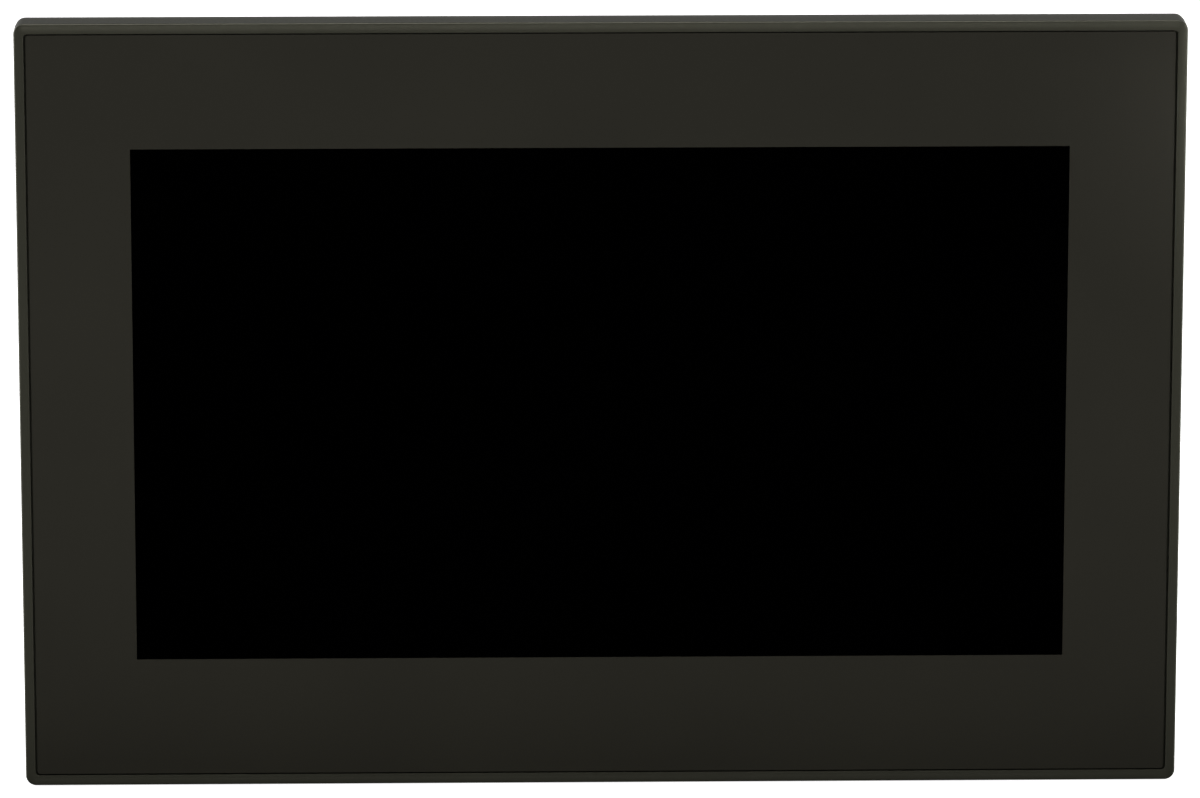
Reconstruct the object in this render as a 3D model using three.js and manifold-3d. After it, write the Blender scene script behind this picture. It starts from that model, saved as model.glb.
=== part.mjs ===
// Panel-mount touch operator panel (10.1 inch wide format), millimetres, +Z up.
// +X is to the right seen from the front, the front faces -Y, the housing runs towards +Y.
// Origin: centre of the cabinet cut-out, in the plane of the front frame's rear face.
import * as THREE from 'three';
import { mergeVertices } from 'three/addons/utils/BufferGeometryUtils.js';
import Module from 'manifold-3d';

const wasm = await Module();
wasm.setup();

// ---------------------------------------------------------------- driving dimensions
const BEZEL_W = 277.5;          // front frame, outside width
const BEZEL_H = 187.0;          // front frame, outside height
const BEZEL_D = 10;             // front frame, depth in front of the cabinet sheet
const BEZEL_R = 2.2;            // outside corner radius
const BEZEL_EDGE = 0.5;         // edge rounding
const RECESS_W = 272.76;        // pocket in the frame for the film and glass
const RECESS_Z0 = -90.86;
const RECESS_Z1 = 91.13;
const RECESS_R = 0.9;
const LEDGE_Y = -7.55;          // floor of that pocket
const FILM_X = [-135.87, 135.81]; // film and glass sit slightly up and to the left in the pocket
const FILM_Z = [-90.51, 90.85];
const WINDOW_W = 222.7;         // visible screen area of a 10.1 inch 16:9 display
const WINDOW_H = 125.3;
const WINDOW_CX = -0.25;
const WINDOW_CZ = 0.65;
const LCD_W = 235;              // display module outline
const LCD_H = 143;
const CUTOUT_W = 258;           // cabinet cut-out
const CUTOUT_H = 167;
const HOUSING_W = CUTOUT_W - 1; // rear housing outline
const HOUSING_H = CUTOUT_H - 1;
const HOUSING_R = 4;
const WALL = 2.4;
const STEP_Y = 18;              // depth of the full-size part of the housing
const REAR_Y = 38;              // depth of the raised part
const RAISED_X = 110;           // raised part, half width
const RAISED_Z0 = -50;          // connector face
const RAISED_Z1 = 78;
const REBATE_Y = -2.5;          // step in the frame's back that takes the housing
const SEAL_IN_X = 131.0;        // panel gasket, inner and outer half sizes
const SEAL_OUT_X = 135.4;
const SEAL_IN_Z = 85.65;
const SEAL_OUT_Z = 90.05;
const SEAL_PROUD = 0.5;         // gasket stands this far behind the frame
const SCREW_X = 122.5;          // housing screws
const SCREW_Z = 77.2;
const BOARD_Y0 = 18.4;          // main board
const BOARD_Y1 = 20.0;
const BOARD_X = 104;
const BOARD_Z0 = -47.2;
const BOARD_Z1 = 70;
const STANDOFF_X = 98;
const STANDOFF_Z = [-30, 62];
const CLAMP_X = 104;            // clamp positions along the long sides
const CLAMP_AXIS = 83.8;        // height of the clamp screw
const CLAMP_FOOT_Y = 6.0;       // front of the pressure foot at rest
const CLAMP_SCREW_R = 2.0;      // M4 x 0.7
const CONN_Y = 20.05;           // underside of everything on the board's rear face

const SLOT_W = 2.8;             // air slots
const SLOT_PITCH = 10;
const TOP_SLOTS = 17;
const BACK_SLOTS = 8;

const POWER_X = -90;
const SERIAL_X = -57;
const LAN_X = [-25.5, -6.5];
const USB_X = [14, 33];
const RESET_X = 52;
const CARD_X = 80;
const DOOR_PIN = { y: 28.8, z: -52.0, r: 0.75 };

// ---------------------------------------------------------------- helpers
function solid(geometry) {
  let g = geometry.clone();
  for (const k of Object.keys(g.attributes)) if (k !== 'position') g.deleteAttribute(k);
  g = mergeVertices(g, 1e-4);
  return new wasm.Manifold(new wasm.Mesh({
    numProp: 3,
    vertProperties: new Float32Array(g.attributes.position.array),
    triVerts: new Uint32Array(g.index.array),
  }));
}

function geometryOf(manifold) {
  const m = manifold.getMesh();
  const pos = new Float32Array((m.vertProperties.length / m.numProp) * 3);
  for (let i = 0; i < pos.length / 3; i++) {
    pos[3 * i] = m.vertProperties[m.numProp * i];
    pos[3 * i + 1] = m.vertProperties[m.numProp * i + 1];
    pos[3 * i + 2] = m.vertProperties[m.numProp * i + 2];
  }
  const g = new THREE.BufferGeometry();
  g.setAttribute('position', new THREE.BufferAttribute(pos, 3));
  g.setIndex(new THREE.BufferAttribute(new Uint32Array(m.triVerts), 1));
  g.computeVertexNormals();
  return g;
}

const box = (x0, x1, y0, y1, z0, z1) => {
  const g = new THREE.BoxGeometry(x1 - x0, y1 - y0, z1 - z0);
  g.translate((x0 + x1) / 2, (y0 + y1) / 2, (z0 + z1) / 2);
  return g;
};

// a rectangle with round corners, in the X-Z plane
function roundRect(x0, x1, z0, z1, r, Type = THREE.Shape) {
  const s = new Type();
  s.moveTo(x0 + r, z0);
  s.lineTo(x1 - r, z0);
  s.absarc(x1 - r, z0 + r, r, -Math.PI / 2, 0, false);
  s.lineTo(x1, z1 - r);
  s.absarc(x1 - r, z1 - r, r, 0, Math.PI / 2, false);
  s.lineTo(x0 + r, z1);
  s.absarc(x0 + r, z1 - r, r, Math.PI / 2, Math.PI, false);
  s.lineTo(x0, z0 + r);
  s.absarc(x0 + r, z0 + r, r, Math.PI, 1.5 * Math.PI, false);
  return s;
}

// an X-Z outline given thickness along Y, from y0 to y1
function slab(shape, y0, y1, { edge = 0, segments = 4 } = {}) {
  const g = new THREE.ExtrudeGeometry(shape, {
    depth: y1 - y0 - 2 * edge, curveSegments: segments,
    bevelEnabled: edge > 0, bevelThickness: edge, bevelSize: edge, bevelOffset: -edge, bevelSegments: 1,
  });
  g.rotateX(Math.PI / 2);
  g.translate(0, y1 - edge, 0);
  return g;
}

// cylinder along Y, Z or X
function rod(axis, r, a0, a1, n = 16) {
  const g = new THREE.CylinderGeometry(r, r, a1 - a0, n);
  g.translate(0, (a0 + a1) / 2, 0);
  if (axis === 'z') g.rotateX(Math.PI / 2);
  if (axis === 'x') g.rotateZ(-Math.PI / 2);
  return g;
}
const at = (g, x, y, z) => { g.translate(x, y, z); return g; };

const union = (...gs) => gs.map(g => (g instanceof THREE.BufferGeometry ? solid(g) : g))
  .reduce((a, b) => a.add(b));
const cut = (a, ...gs) => gs.map(g => (g instanceof THREE.BufferGeometry ? solid(g) : g))
  .reduce((x, y) => x.subtract(y), a instanceof THREE.BufferGeometry ? solid(a) : a);

const MAT = {
  bezel: ['#2c2b27', 0.5, 0.0], film: ['#292823', 0.6, 0.0], glass: ['#050505', 0.15, 0.0],
  tape: ['#101010', 0.8, 0.0], seal: ['#1b1b1b', 0.9, 0.0], cell: ['#0a0a0c', 0.1, 0.0],
  guide: ['#e8ecee', 0.3, 0.0], steel: ['#b4b6b8', 0.4, 0.9], board: ['#17462c', 0.55, 0.0],
  chip: ['#1a1a1a', 0.5, 0.0], alu: ['#a8abae', 0.35, 0.9], dark: ['#202124', 0.6, 0.0],
  housing: ['#26272a', 0.65, 0.0], plug: ['#2f7d46', 0.55, 0.0], card: ['#15161a', 0.5, 0.0],
  ribbon: ['#c98a2c', 0.5, 0.0], plate: ['#c9ccce', 0.4, 0.2], zinc: ['#c3c5c6', 0.3, 0.95],
  foot: ['#1d1d1f', 0.7, 0.0], cap: ['#23262b', 0.5, 0.0],
};

function piece(parent, name, shape, look, x = 0, y = 0, z = 0) {
  const geometry = shape instanceof THREE.BufferGeometry ? shape : geometryOf(shape);
  const [color, roughness, metalness] = MAT[look];
  const mesh = new THREE.Mesh(geometry, new THREE.MeshStandardMaterial({ color, roughness, metalness }));
  mesh.name = name;
  mesh.position.set(x, y, z);
  parent.add(mesh);
  return mesh;
}
const group = (parent, x = 0, y = 0, z = 0) => {
  const g = new THREE.Group();
  g.position.set(x, y, z);
  parent.add(g);
  return g;
};

const panel = new THREE.Group();
panel.name = 'hmi_touch_panel';

// ================================================================ front frame
const front = group(panel);
{
  const hx = BEZEL_W / 2, hz = BEZEL_H / 2;
  const ringGroove = cut(
    slab(roundRect(-135.7, 135.7, -90.35, 90.35, 1.6), -2.0, 1.0),
    slab(roundRect(-130.7, 130.7, -85.35, 85.35, 1.2), -3.0, 2.0));
  let b = cut(
    slab(roundRect(-hx, hx, -hz, hz, BEZEL_R), -BEZEL_D, 0, { edge: BEZEL_EDGE, segments: 5 }),
    slab(roundRect(-RECESS_W / 2, RECESS_W / 2, RECESS_Z0, RECESS_Z1, RECESS_R), -BEZEL_D - 1, LEDGE_Y),
    box(WINDOW_CX - 118.5, WINDOW_CX + 118.5, -9, 1, WINDOW_CZ - 72.5, WINDOW_CZ + 72.5),
    slab(roundRect(-HOUSING_W / 2 - 0.3, HOUSING_W / 2 + 0.3, -HOUSING_H / 2 - 0.3, HOUSING_H / 2 + 0.3, HOUSING_R + 0.3), REBATE_Y, 1),
    box(58, 82, -9, 1, -77.5, -70),
    ringGroove);
  for (const sx of [-1, 1]) for (const sz of [-1, 1]) {
    b = cut(b, at(rod('y', 1.8, -6.6, 0), sx * SCREW_X, 0, sz * SCREW_Z));
  }
  piece(front, 'front_bezel', b, 'bezel');
}
{
  const xc = (FILM_X[0] + FILM_X[1]) / 2, zc = (FILM_Z[0] + FILM_Z[1]) / 2;
  const hw = (FILM_X[1] - FILM_X[0]) / 2, hh = (FILM_Z[1] - FILM_Z[0]) / 2;
  const film = roundRect(-hw, hw, -hh, hh, 0.6);
  film.holes.push(roundRect(WINDOW_CX - xc - WINDOW_W / 2, WINDOW_CX - xc + WINDOW_W / 2,
    WINDOW_CZ - zc - WINDOW_H / 2, WINDOW_CZ - zc + WINDOW_H / 2, 0.3, THREE.Path));
  piece(front, 'front_film', slab(film, -0.23, 0), 'film', xc, -9.72, zc);
  piece(front, 'touch_glass', slab(roundRect(-hw + 0.1, hw - 0.1, -hh + 0.1, hh - 0.1, 0.6), -1.8, 0), 'glass', xc, -7.9, zc);
  const tape = roundRect(-134.3, 134.3, -88.8, 88.8, 0.5);
  tape.holes.push(roundRect(-121, 120.5, -74.5 - 5.5, 74.8, 0.5, THREE.Path));
  piece(front, 'glass_adhesive', slab(tape, -0.28, 0), 'tape', 0, -7.59, zc);
}
{
  const s = roundRect(-SEAL_OUT_X, SEAL_OUT_X, -SEAL_OUT_Z, SEAL_OUT_Z, 1.4);
  s.holes.push(roundRect(-SEAL_IN_X, SEAL_IN_X, -SEAL_IN_Z, SEAL_IN_Z, 1.4, THREE.Path));
  piece(front, 'panel_gasket', slab(s, -1.95 - SEAL_PROUD, 0), 'seal', 0, SEAL_PROUD, 0);
}

// ================================================================ display module
const display = group(panel, WINDOW_CX, 0, WINDOW_CZ);
{
  const w = LCD_W / 2, h = LCD_H / 2;
  piece(display, 'lcd_chassis', cut(
    box(-w, w, -2.35, 2.35, -h, h),
    box(-w + 0.8, w - 0.8, -3, 1.65, -h + 0.8, h - 0.8)), 'steel', 0, -5.05, 0);
  piece(display, 'lcd_cell', box(-w + 1.2, w - 1.2, -0.7, 0.7, -h + 1.2, h - 1.2), 'cell', 0, -6.6, 0);
  piece(display, 'backlight_guide', box(-w + 1.2, w - 1.2, -0.95, 0.95, -h + 1.2, h - 1.2), 'guide', 0, -4.75, 0);
}
{
  // sheet plate that backs the display and carries the board on four pressed-in standoffs
  let p = solid(box(-125.3, 125.3, -2.45, -1.45, -79.8, 79.8));
  for (const x of [-STANDOFF_X, STANDOFF_X]) for (const z of STANDOFF_Z) {
    p = cut(union(p, at(rod('y', 3.0, -1.9, BOARD_Y0 - 0.05, 12), x, 0, z)), at(rod('y', 1.8, 11, 20, 12), x, 0, z));
  }
  for (const sx of [-1, 1]) for (const sz of [-1, 1]) {
    p = cut(p, at(rod('y', 2.0, -4, 0), sx * SCREW_X, 0, sz * SCREW_Z));
  }
  p = cut(p, box(58, 82, -4, 0, -81, -70), box(-22, 22, -4, 0, 9, 15),
    box(-126, -124.9, -4, 0, -90, -70));
  piece(display, 'shield_plate', p, 'steel', -WINDOW_CX, 0, -WINDOW_CZ);
}

// a thin strip that follows a path in the Y-Z plane, width along X
function strip(path, t, x0, x1) {
  const n = path.length, left = [], right = [];
  for (let i = 0; i < n; i++) {
    const a = path[Math.max(0, i - 1)], b = path[Math.min(n - 1, i + 1)];
    const dy = b[0] - a[0], dz = b[1] - a[1], L = Math.hypot(dy, dz);
    const ny = -dz / L, nz = dy / L;
    left.push([path[i][0] + ny * t / 2, path[i][1] + nz * t / 2]);
    right.push([path[i][0] - ny * t / 2, path[i][1] - nz * t / 2]);
  }
  const s = new THREE.Shape();
  const loop = [...left, ...right.reverse()];
  s.moveTo(loop[0][0], loop[0][1]);
  for (const p of loop.slice(1)) s.lineTo(p[0], p[1]);
  const g = new THREE.ExtrudeGeometry(s, { depth: x1 - x0, bevelEnabled: false });
  // shape X becomes Y, shape Y becomes Z, depth becomes X
  const m = new THREE.Matrix4().set(0, 0, 1, x0, 1, 0, 0, 0, 0, 1, 0, 0, 0, 0, 0, 1);
  g.applyMatrix4(m);
  return g;
}
function smooth(points, n) {
  const c = new THREE.CatmullRomCurve3(points.map(p => new THREE.Vector3(p[0], p[1], 0)), false, 'centripetal');
  return c.getPoints(n).map(v => [v.x, v.y]);
}
piece(display, 'lcd_ribbon', strip(smooth([[-2.35, 12], [1, 12.2], [4.5, 16], [9, 26], [14, 35], [17.2, 40], [18.0, 48]], 14), 0.3, -19, 19),
  'ribbon', -WINDOW_CX, 0, -WINDOW_CZ);
piece(display, 'touch_ribbon', strip(smooth([[-7.2, -74.4], [0, -74.2], [5, -70], [9, -61], [11.5, -52], [14, -43.5], [17.0, -37], [18.05, -29]], 14), 0.3, 61, 79),
  'ribbon', -WINDOW_CX, 0, -WINDOW_CZ);

// ================================================================ main board
const electronics = group(panel);
{
  let b = solid(box(-BOARD_X, BOARD_X, BOARD_Y0, BOARD_Y1, BOARD_Z0, BOARD_Z1));
  for (const x of [-STANDOFF_X, STANDOFF_X]) for (const z of STANDOFF_Z) {
    b = cut(b, at(rod('y', 1.8, 17, 22, 12), x, 0, z));
  }
  piece(electronics, 'main_board', b, 'board');
  let n = 1;
  for (const x of [-STANDOFF_X, STANDOFF_X]) for (const z of STANDOFF_Z) {
    const prof = [[0, 12.6], [1.45, 12.6], [1.45, 20.05], [2.8, 20.05], [2.8, 21.6], [2.2, 22.2], [0, 22.2]];
    piece(electronics, `board_screw_${n++}`,
      cut(new THREE.LatheGeometry(prof.map(p => new THREE.Vector2(p[0], p[1])), 12),
        box(-0.5, 0.5, 21.2, 23, -2.1, 2.1)), 'zinc', x, 0, z);
  }
}
piece(electronics, 'cpu_chip', box(-13.5, 13.5, 0, 2.0, -13.5, 13.5), 'chip', 24, CONN_Y, 24);
{
  const s = new THREE.Shape();          // comb profile: X across the fins, Y is height
  const fins = 8, pitch = 5.2, t = 1.3, W = (fins - 1) * pitch + t, base = 2.4, top = 11.5;
  s.moveTo(-W / 2, 0);
  s.lineTo(W / 2, 0);
  for (let i = fins - 1; i >= 0; i--) {
    const x0 = -W / 2 + i * pitch, x1 = x0 + t;
    s.lineTo(x1, i === fins - 1 ? top : base);
    if (i !== fins - 1) s.lineTo(x1, top);
    s.lineTo(x0, top);
    if (i > 0) s.lineTo(x0, base);
  }
  s.lineTo(-W / 2, 0);
  const g = new THREE.ExtrudeGeometry(s, { depth: 38, bevelEnabled: false });
  g.translate(0, 0, -19);
  piece(electronics, 'heat_sink', g, 'alu', 24, CONN_Y + 2.05, 24);
}
piece(electronics, 'power_inductor', union(
  slab(roundRect(-6.2, 6.2, -6.2, 6.2, 2), 0.4, 6.8, { segments: 3 }),
  box(-6.6, 6.6, 0, 0.8, -2, 2)), 'chip', -84, CONN_Y, -14);
piece(electronics, 'bulk_capacitor', new THREE.LatheGeometry(
  [[0, 0], [5, 0], [5, 1.6], [4.7, 2.0], [4.7, 2.5], [5, 2.9], [5, 11.6], [4.5, 12.2], [0, 12.2]]
      .map(p => new THREE.Vector2(p[0], p[1])), 14), 'alu', -62, CONN_Y, -14);
piece(electronics, 'cell_holder', cut(
  union(at(rod('y', 11.4, 0, 4.6, 24), 0, 0, 0), box(-13, 13, 0, 4.0, -4, 4)),
  at(rod('y', 10.4, 1.2, 6, 24), 0, 0, 0), box(-4, 4, 1.2, 6, -13, 0)), 'chip', 76, CONN_Y, 36);
piece(electronics, 'coin_cell', new THREE.LatheGeometry(
  [[0, 0], [8.6, 0], [9.0, 0.5], [10, 0.6], [10, 3.0], [9.8, 3.2], [0, 3.2]]
    .map(p => new THREE.Vector2(p[0], p[1])), 24), 'zinc', 76, CONN_Y + 1.25, 36);

// ---------------------------------------------------------------- connectors
const FACE_Z = RAISED_Z0 - 0.3;   // connector faces stand just proud of the wall
LAN_X.forEach((x, i) => {
  piece(electronics, `ethernet_jack_${i + 1}`, cut(
    box(-8, 8, 0, 13.4, FACE_Z, -29),
    box(-5.9, 5.9, 2.6, 9.6, FACE_Z - 1, FACE_Z + 12.5),
    box(-3.1, 3.1, 9.5, 11.6, FACE_Z - 1, FACE_Z + 11)), 'steel', x, CONN_Y, 0);
});
USB_X.forEach((x, i) => {
  piece(electronics, `usb_port_${i + 1}`, union(
    cut(box(-6.8, 6.8, 0.4, 6.6, FACE_Z, -36.5), box(-6.3, 6.3, 0.9, 6.1, FACE_Z - 1, -38.5)),
    box(-5.5, 5.5, 3.6, 5.4, FACE_Z + 1.2, -38)), 'steel', x, CONN_Y, 0);
});
{
  const d = new THREE.Shape();          // D outline, X and Y, wider side towards +Y
  d.moveTo(-7.2, -4.1); d.lineTo(7.2, -4.1); d.lineTo(8.1, -3.2); d.lineTo(9.4, 3.2); d.lineTo(8.5, 4.1);
  d.lineTo(-8.5, 4.1); d.lineTo(-9.4, 3.2); d.lineTo(-8.1, -3.2); d.lineTo(-7.2, -4.1);
  const shell = new THREE.ExtrudeGeometry(d, { depth: 6.4, bevelEnabled: false });
  shell.translate(0, 6.3, FACE_Z - 5.8);
  piece(electronics, 'serial_port', union(
    cut(box(-15.4, 15.4, 0, 12.5, FACE_Z, FACE_Z + 1.2),
      at(rod('z', 1.7, -60, -40, 12), -12.5, 6.3, 0), at(rod('z', 1.7, -60, -40, 12), 12.5, 6.3, 0)),
    box(-10.5, 10.5, 0, 12.0, FACE_Z + 0.8, -38), shell), 'steel', SERIAL_X, CONN_Y, 0);
  [-12.5, 12.5].forEach((dx, i) => {
    piece(electronics, `serial_jackscrew_${i + 1}`, cut(union(
      at(rod('z', 2.75, FACE_Z - 5.2, FACE_Z - 0.05, 6), 0, 0, 0),
      at(rod('z', 1.4, FACE_Z - 0.5, FACE_Z + 6, 12), 0, 0, 0)),
      at(rod('z', 1.3, FACE_Z - 6, FACE_Z - 1.5, 12), 0, 0, 0)), 'zinc', SERIAL_X + dx, CONN_Y + 6.3, 0);
  });
}
piece(electronics, 'power_header', cut(
  box(-9, 9, 0, 9.6, FACE_Z, -38.5),
  box(-8.0, 8.0, 1.4, 8.2, FACE_Z - 1, -41.5)), 'plug', POWER_X, CONN_Y, 0);

// pull-off three-way plug and its wire clamp screws
const plug = group(electronics, POWER_X, CONN_Y, 0);
{
  let p = union(box(-7.6, 7.6, 1.8, 7.8, -50.9, -43), box(-7.8, 7.8, 0.6, 11.4, -62.5, -50.8));
  for (const x of [-5.08, 0, 5.08]) {
    p = cut(p, box(x - 1.6, x + 1.6, 2.2, 5.6, -64, -55), at(rod('y', 2.05, 8.4, 13, 12), x, 0, -57.2));
  }
  piece(plug, 'power_plug', p, 'plug');
  [-5.08, 0, 5.08].forEach((x, i) => {
    piece(plug, `plug_screw_${i + 1}`, cut(rod('y', 1.85, 8.6, 11.0, 12), box(-0.35, 0.35, 10.2, 12, -3, 3)), 'zinc', x, 0, -57.2);
  });
}

// memory card
piece(electronics, 'card_socket', cut(
  box(-13.2, 13.2, 0, 3.4, -44.9, -11.9), box(-12.3, 12.3, 0.5, 2.9, -48, -13.2)), 'steel', CARD_X, CONN_Y, 0);
{
  const s = new THREE.Shape();
  s.moveTo(-12, -46.9); s.lineTo(12, -46.9); s.lineTo(12, -18.6); s.lineTo(8.2, -14.9); s.lineTo(-12, -14.9); s.lineTo(-12, -46.9);
  piece(electronics, 'memory_card', slab(s, 0.65, 2.75), 'card', CARD_X, CONN_Y, 0);
}
// reset push button and the switch behind it
piece(electronics, 'reset_switch', union(box(-3, 3, 0, 7, -42.5, -38.9), at(rod('z', 1.4, -43.3, -42, 12), 0, 3.6, 0)), 'chip', RESET_X, CONN_Y, 0);
{
  const prof = [[0, -50.9], [1.5, -50.9], [1.8, -50.6], [1.8, -47.1], [2.9, -47.1], [2.9, -46.1], [1.6, -46.1], [1.6, -44.6], [0, -44.6]];
  const g = new THREE.LatheGeometry(prof.map(p => new THREE.Vector2(p[0], p[1])), 16);
  g.rotateX(Math.PI / 2);
  piece(electronics, 'reset_button', g, 'cap', RESET_X, CONN_Y + 3.6, 0);
}

// ================================================================ rear housing
const rear = group(panel);
{
  const hx = HOUSING_W / 2, hz = HOUSING_H / 2;
  let h = union(
    slab(roundRect(-hx, hx, -hz, hz, HOUSING_R), REBATE_Y + 0.05, STEP_Y),
    slab(roundRect(-RAISED_X, RAISED_X, RAISED_Z0, RAISED_Z1, 4), STEP_Y - 4, REAR_Y, { edge: 1.0 }));
  h = cut(h,
    slab(roundRect(-hx + WALL, hx - WALL, -hz + WALL, hz - WALL, HOUSING_R - 2), -4, STEP_Y - WALL),
    slab(roundRect(-RAISED_X + WALL, RAISED_X - WALL, RAISED_Z0 + WALL, RAISED_Z1 - WALL, 2), STEP_Y - 4, REAR_Y - WALL));
  // screw posts
  for (const sx of [-1, 1]) for (const sz of [-1, 1]) {
    h = union(h, at(rod('y', 4.2, -1.4, STEP_Y - 1), sx * SCREW_X, 0, sz * SCREW_Z));
    h = cut(h, at(rod('y', 1.9, -3, STEP_Y + 1), sx * SCREW_X, 0, sz * SCREW_Z),
      at(rod('y', 3.3, STEP_Y - 2.3, STEP_Y + 1), sx * SCREW_X, 0, sz * SCREW_Z));
  }
  // clamp pockets on the two long sides
  for (const sx of [-1, 1]) for (const sz of [-1, 1]) {
    const x = sx * CLAMP_X, zr = (a, b) => (sz > 0 ? [a, b] : [-b, -a]);
    h = union(h, box(x - 11, x + 11, -1.2, STEP_Y, ...zr(76.5, 83)));
    h = cut(h, box(x - 9.2, x + 9.2, 0.2, STEP_Y + 2, ...zr(79, 85)), box(x - 5, x + 5, 8.6, 12.6, ...zr(70, 80)));
  }
  // air slots: along the top of the raised part and in its back
  for (let i = 0; i < TOP_SLOTS; i++) {
    const x = (i - (TOP_SLOTS - 1) / 2) * SLOT_PITCH;
    h = cut(h, box(x - SLOT_W / 2, x + SLOT_W / 2, 22, 34, 74, 80));
  }
  for (let i = 0; i < BACK_SLOTS; i++) for (const s of [-1, 1]) {
    const x = s * (15 + i * SLOT_PITCH);
    h = cut(h, box(x - SLOT_W / 2, x + SLOT_W / 2, 34, 40, 26, 60));
  }
  // cut-outs for the connectors, card, button
  const g = 0.35, w0 = RAISED_Z0 - 1, w1 = RAISED_Z0 + WALL + 1;
  for (const x of LAN_X) h = cut(h, box(x - 8 - g, x + 8 + g, CONN_Y - 0.1, CONN_Y + 13.4 + g, w0, w1));
  for (const x of USB_X) h = cut(h, box(x - 6.8 - g, x + 6.8 + g, CONN_Y + 0.05, CONN_Y + 6.6 + g, w0, w1));
  h = cut(h, box(SERIAL_X - 15.4 - g, SERIAL_X + 15.4 + g, CONN_Y - 0.1, CONN_Y + 12.5 + g, w0, w1));
  h = cut(h, box(POWER_X - 9 - g, POWER_X + 9 + g, CONN_Y - 0.1, CONN_Y + 9.6 + g, w0, w1));
  h = cut(h, box(CARD_X - 13.5, CARD_X + 13.5, CONN_Y - 0.4, CONN_Y + 5.2, w0, w1));
  h = cut(h, at(rod('z', 2.25, w0, w1), RESET_X, CONN_Y + 3.6, 0));
  // lugs for the card door's hinge pin
  for (const s of [-1, 1]) {
    const x0 = CARD_X + s * 18.2, a = Math.min(x0 - 1.2, x0 + 1.2), b = Math.max(x0 - 1.2, x0 + 1.2);
    h = union(h, box(a, b, DOOR_PIN.y - 1.8, DOOR_PIN.y + 1.8, DOOR_PIN.z - 1.8, RAISED_Z0 + 0.5));
  }
  h = cut(h, at(rod('x', DOOR_PIN.r + 0.12, CARD_X - 19.0, CARD_X + 21), 0, DOOR_PIN.y, DOOR_PIN.z));
  // earth screw boss
  h = union(h, at(rod('y', 5, 6, STEP_Y - 1), -112, 0, -64));
  h = cut(h, at(rod('y', 2.3, 8, STEP_Y + 1), -112, 0, -64));
  piece(rear, 'rear_housing', h, 'housing');
}
{
  let n = 1;
  for (const sx of [-1, 1]) for (const sz of [-1, 1]) {
    const prof = [[0, -6.3], [1.5, -6.3], [1.5, 15.75], [2.9, 15.75], [2.9, 17.2], [2.3, 17.75], [0, 17.75]];
    piece(rear, `housing_screw_${n++}`, cut(
      new THREE.LatheGeometry(prof.map(p => new THREE.Vector2(p[0], p[1])), 12),
      box(-0.45, 0.45, 16.8, 19, -1.9, 1.9), box(-1.9, 1.9, 16.8, 19, -0.45, 0.45)), 'zinc', sx * SCREW_X, 0, sz * SCREW_Z);
  }
}
piece(rear, 'rating_plate', slab(roundRect(-36, 36, -18, 18, 1.5), 0, 0.3, { segments: 3 }), 'plate', 55, REAR_Y + 0.02, -8);
{
  // earth tab: ring under the screw head with a 6.3 x 0.8 mm blade turned up from it
  const tabY = STEP_Y + 0.03;
  const blade = new THREE.Shape([[-3.15, 0], [3.15, 0], [3.15, 8.2], [2.2, 9.2], [-2.2, 9.2], [-3.15, 8.2]].map(p => new THREE.Vector2(p[0], p[1])));
  const blank = new THREE.ExtrudeGeometry(blade, { depth: 0.8, bevelEnabled: false });
  blank.translate(0, 0, -6.6);
  let tab = union(at(rod('y', 4.8, 0, 0.8, 24), 0, 0, 0), box(-3.15, 3.15, 0, 0.8, -6.6, -3.0), blank);
  tab = cut(tab, rod('y', 2.4, -1, 2, 24), at(rod('z', 0.9, -8, -5, 12), 0, 5.6, 0));
  piece(rear, 'earth_tab', tab, 'zinc', -112, tabY, -64);
  const prof = [[0, 9], [1.95, 9], [1.95, 18.9], [3.8, 18.9], [3.8, 20.9], [3.2, 21.5], [0, 21.5]];
  piece(rear, 'earth_screw', cut(new THREE.LatheGeometry(prof.map(p => new THREE.Vector2(p[0], p[1])), 20),
    box(-0.5, 0.5, 20.3, 23, -2.6, 2.6), box(-2.6, 2.6, 20.3, 23, -0.5, 0.5)), 'zinc', -112, 0, -64);
}
// card door: flap with a knuckle that turns on the pin
{
  const y0 = 19.0 - DOOR_PIN.y;
  let d = union(
    box(-16.6, 16.6, y0, 0, 0.0, 1.5),
    box(-5, 5, y0 - 0.4, y0 + 0.6, -0.9, 0.9),
    rod('x', 1.5, -16.6, 16.6));
  d = cut(d, rod('x', DOOR_PIN.r + 0.1, -18, 18));
  piece(rear, 'card_door', d, 'cap', CARD_X, DOOR_PIN.y, DOOR_PIN.z);
  piece(rear, 'card_door_pin', rod('x', DOOR_PIN.r, -18.8, 19.2), 'zinc', CARD_X, DOOR_PIN.y, DOOR_PIN.z);
}

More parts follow.
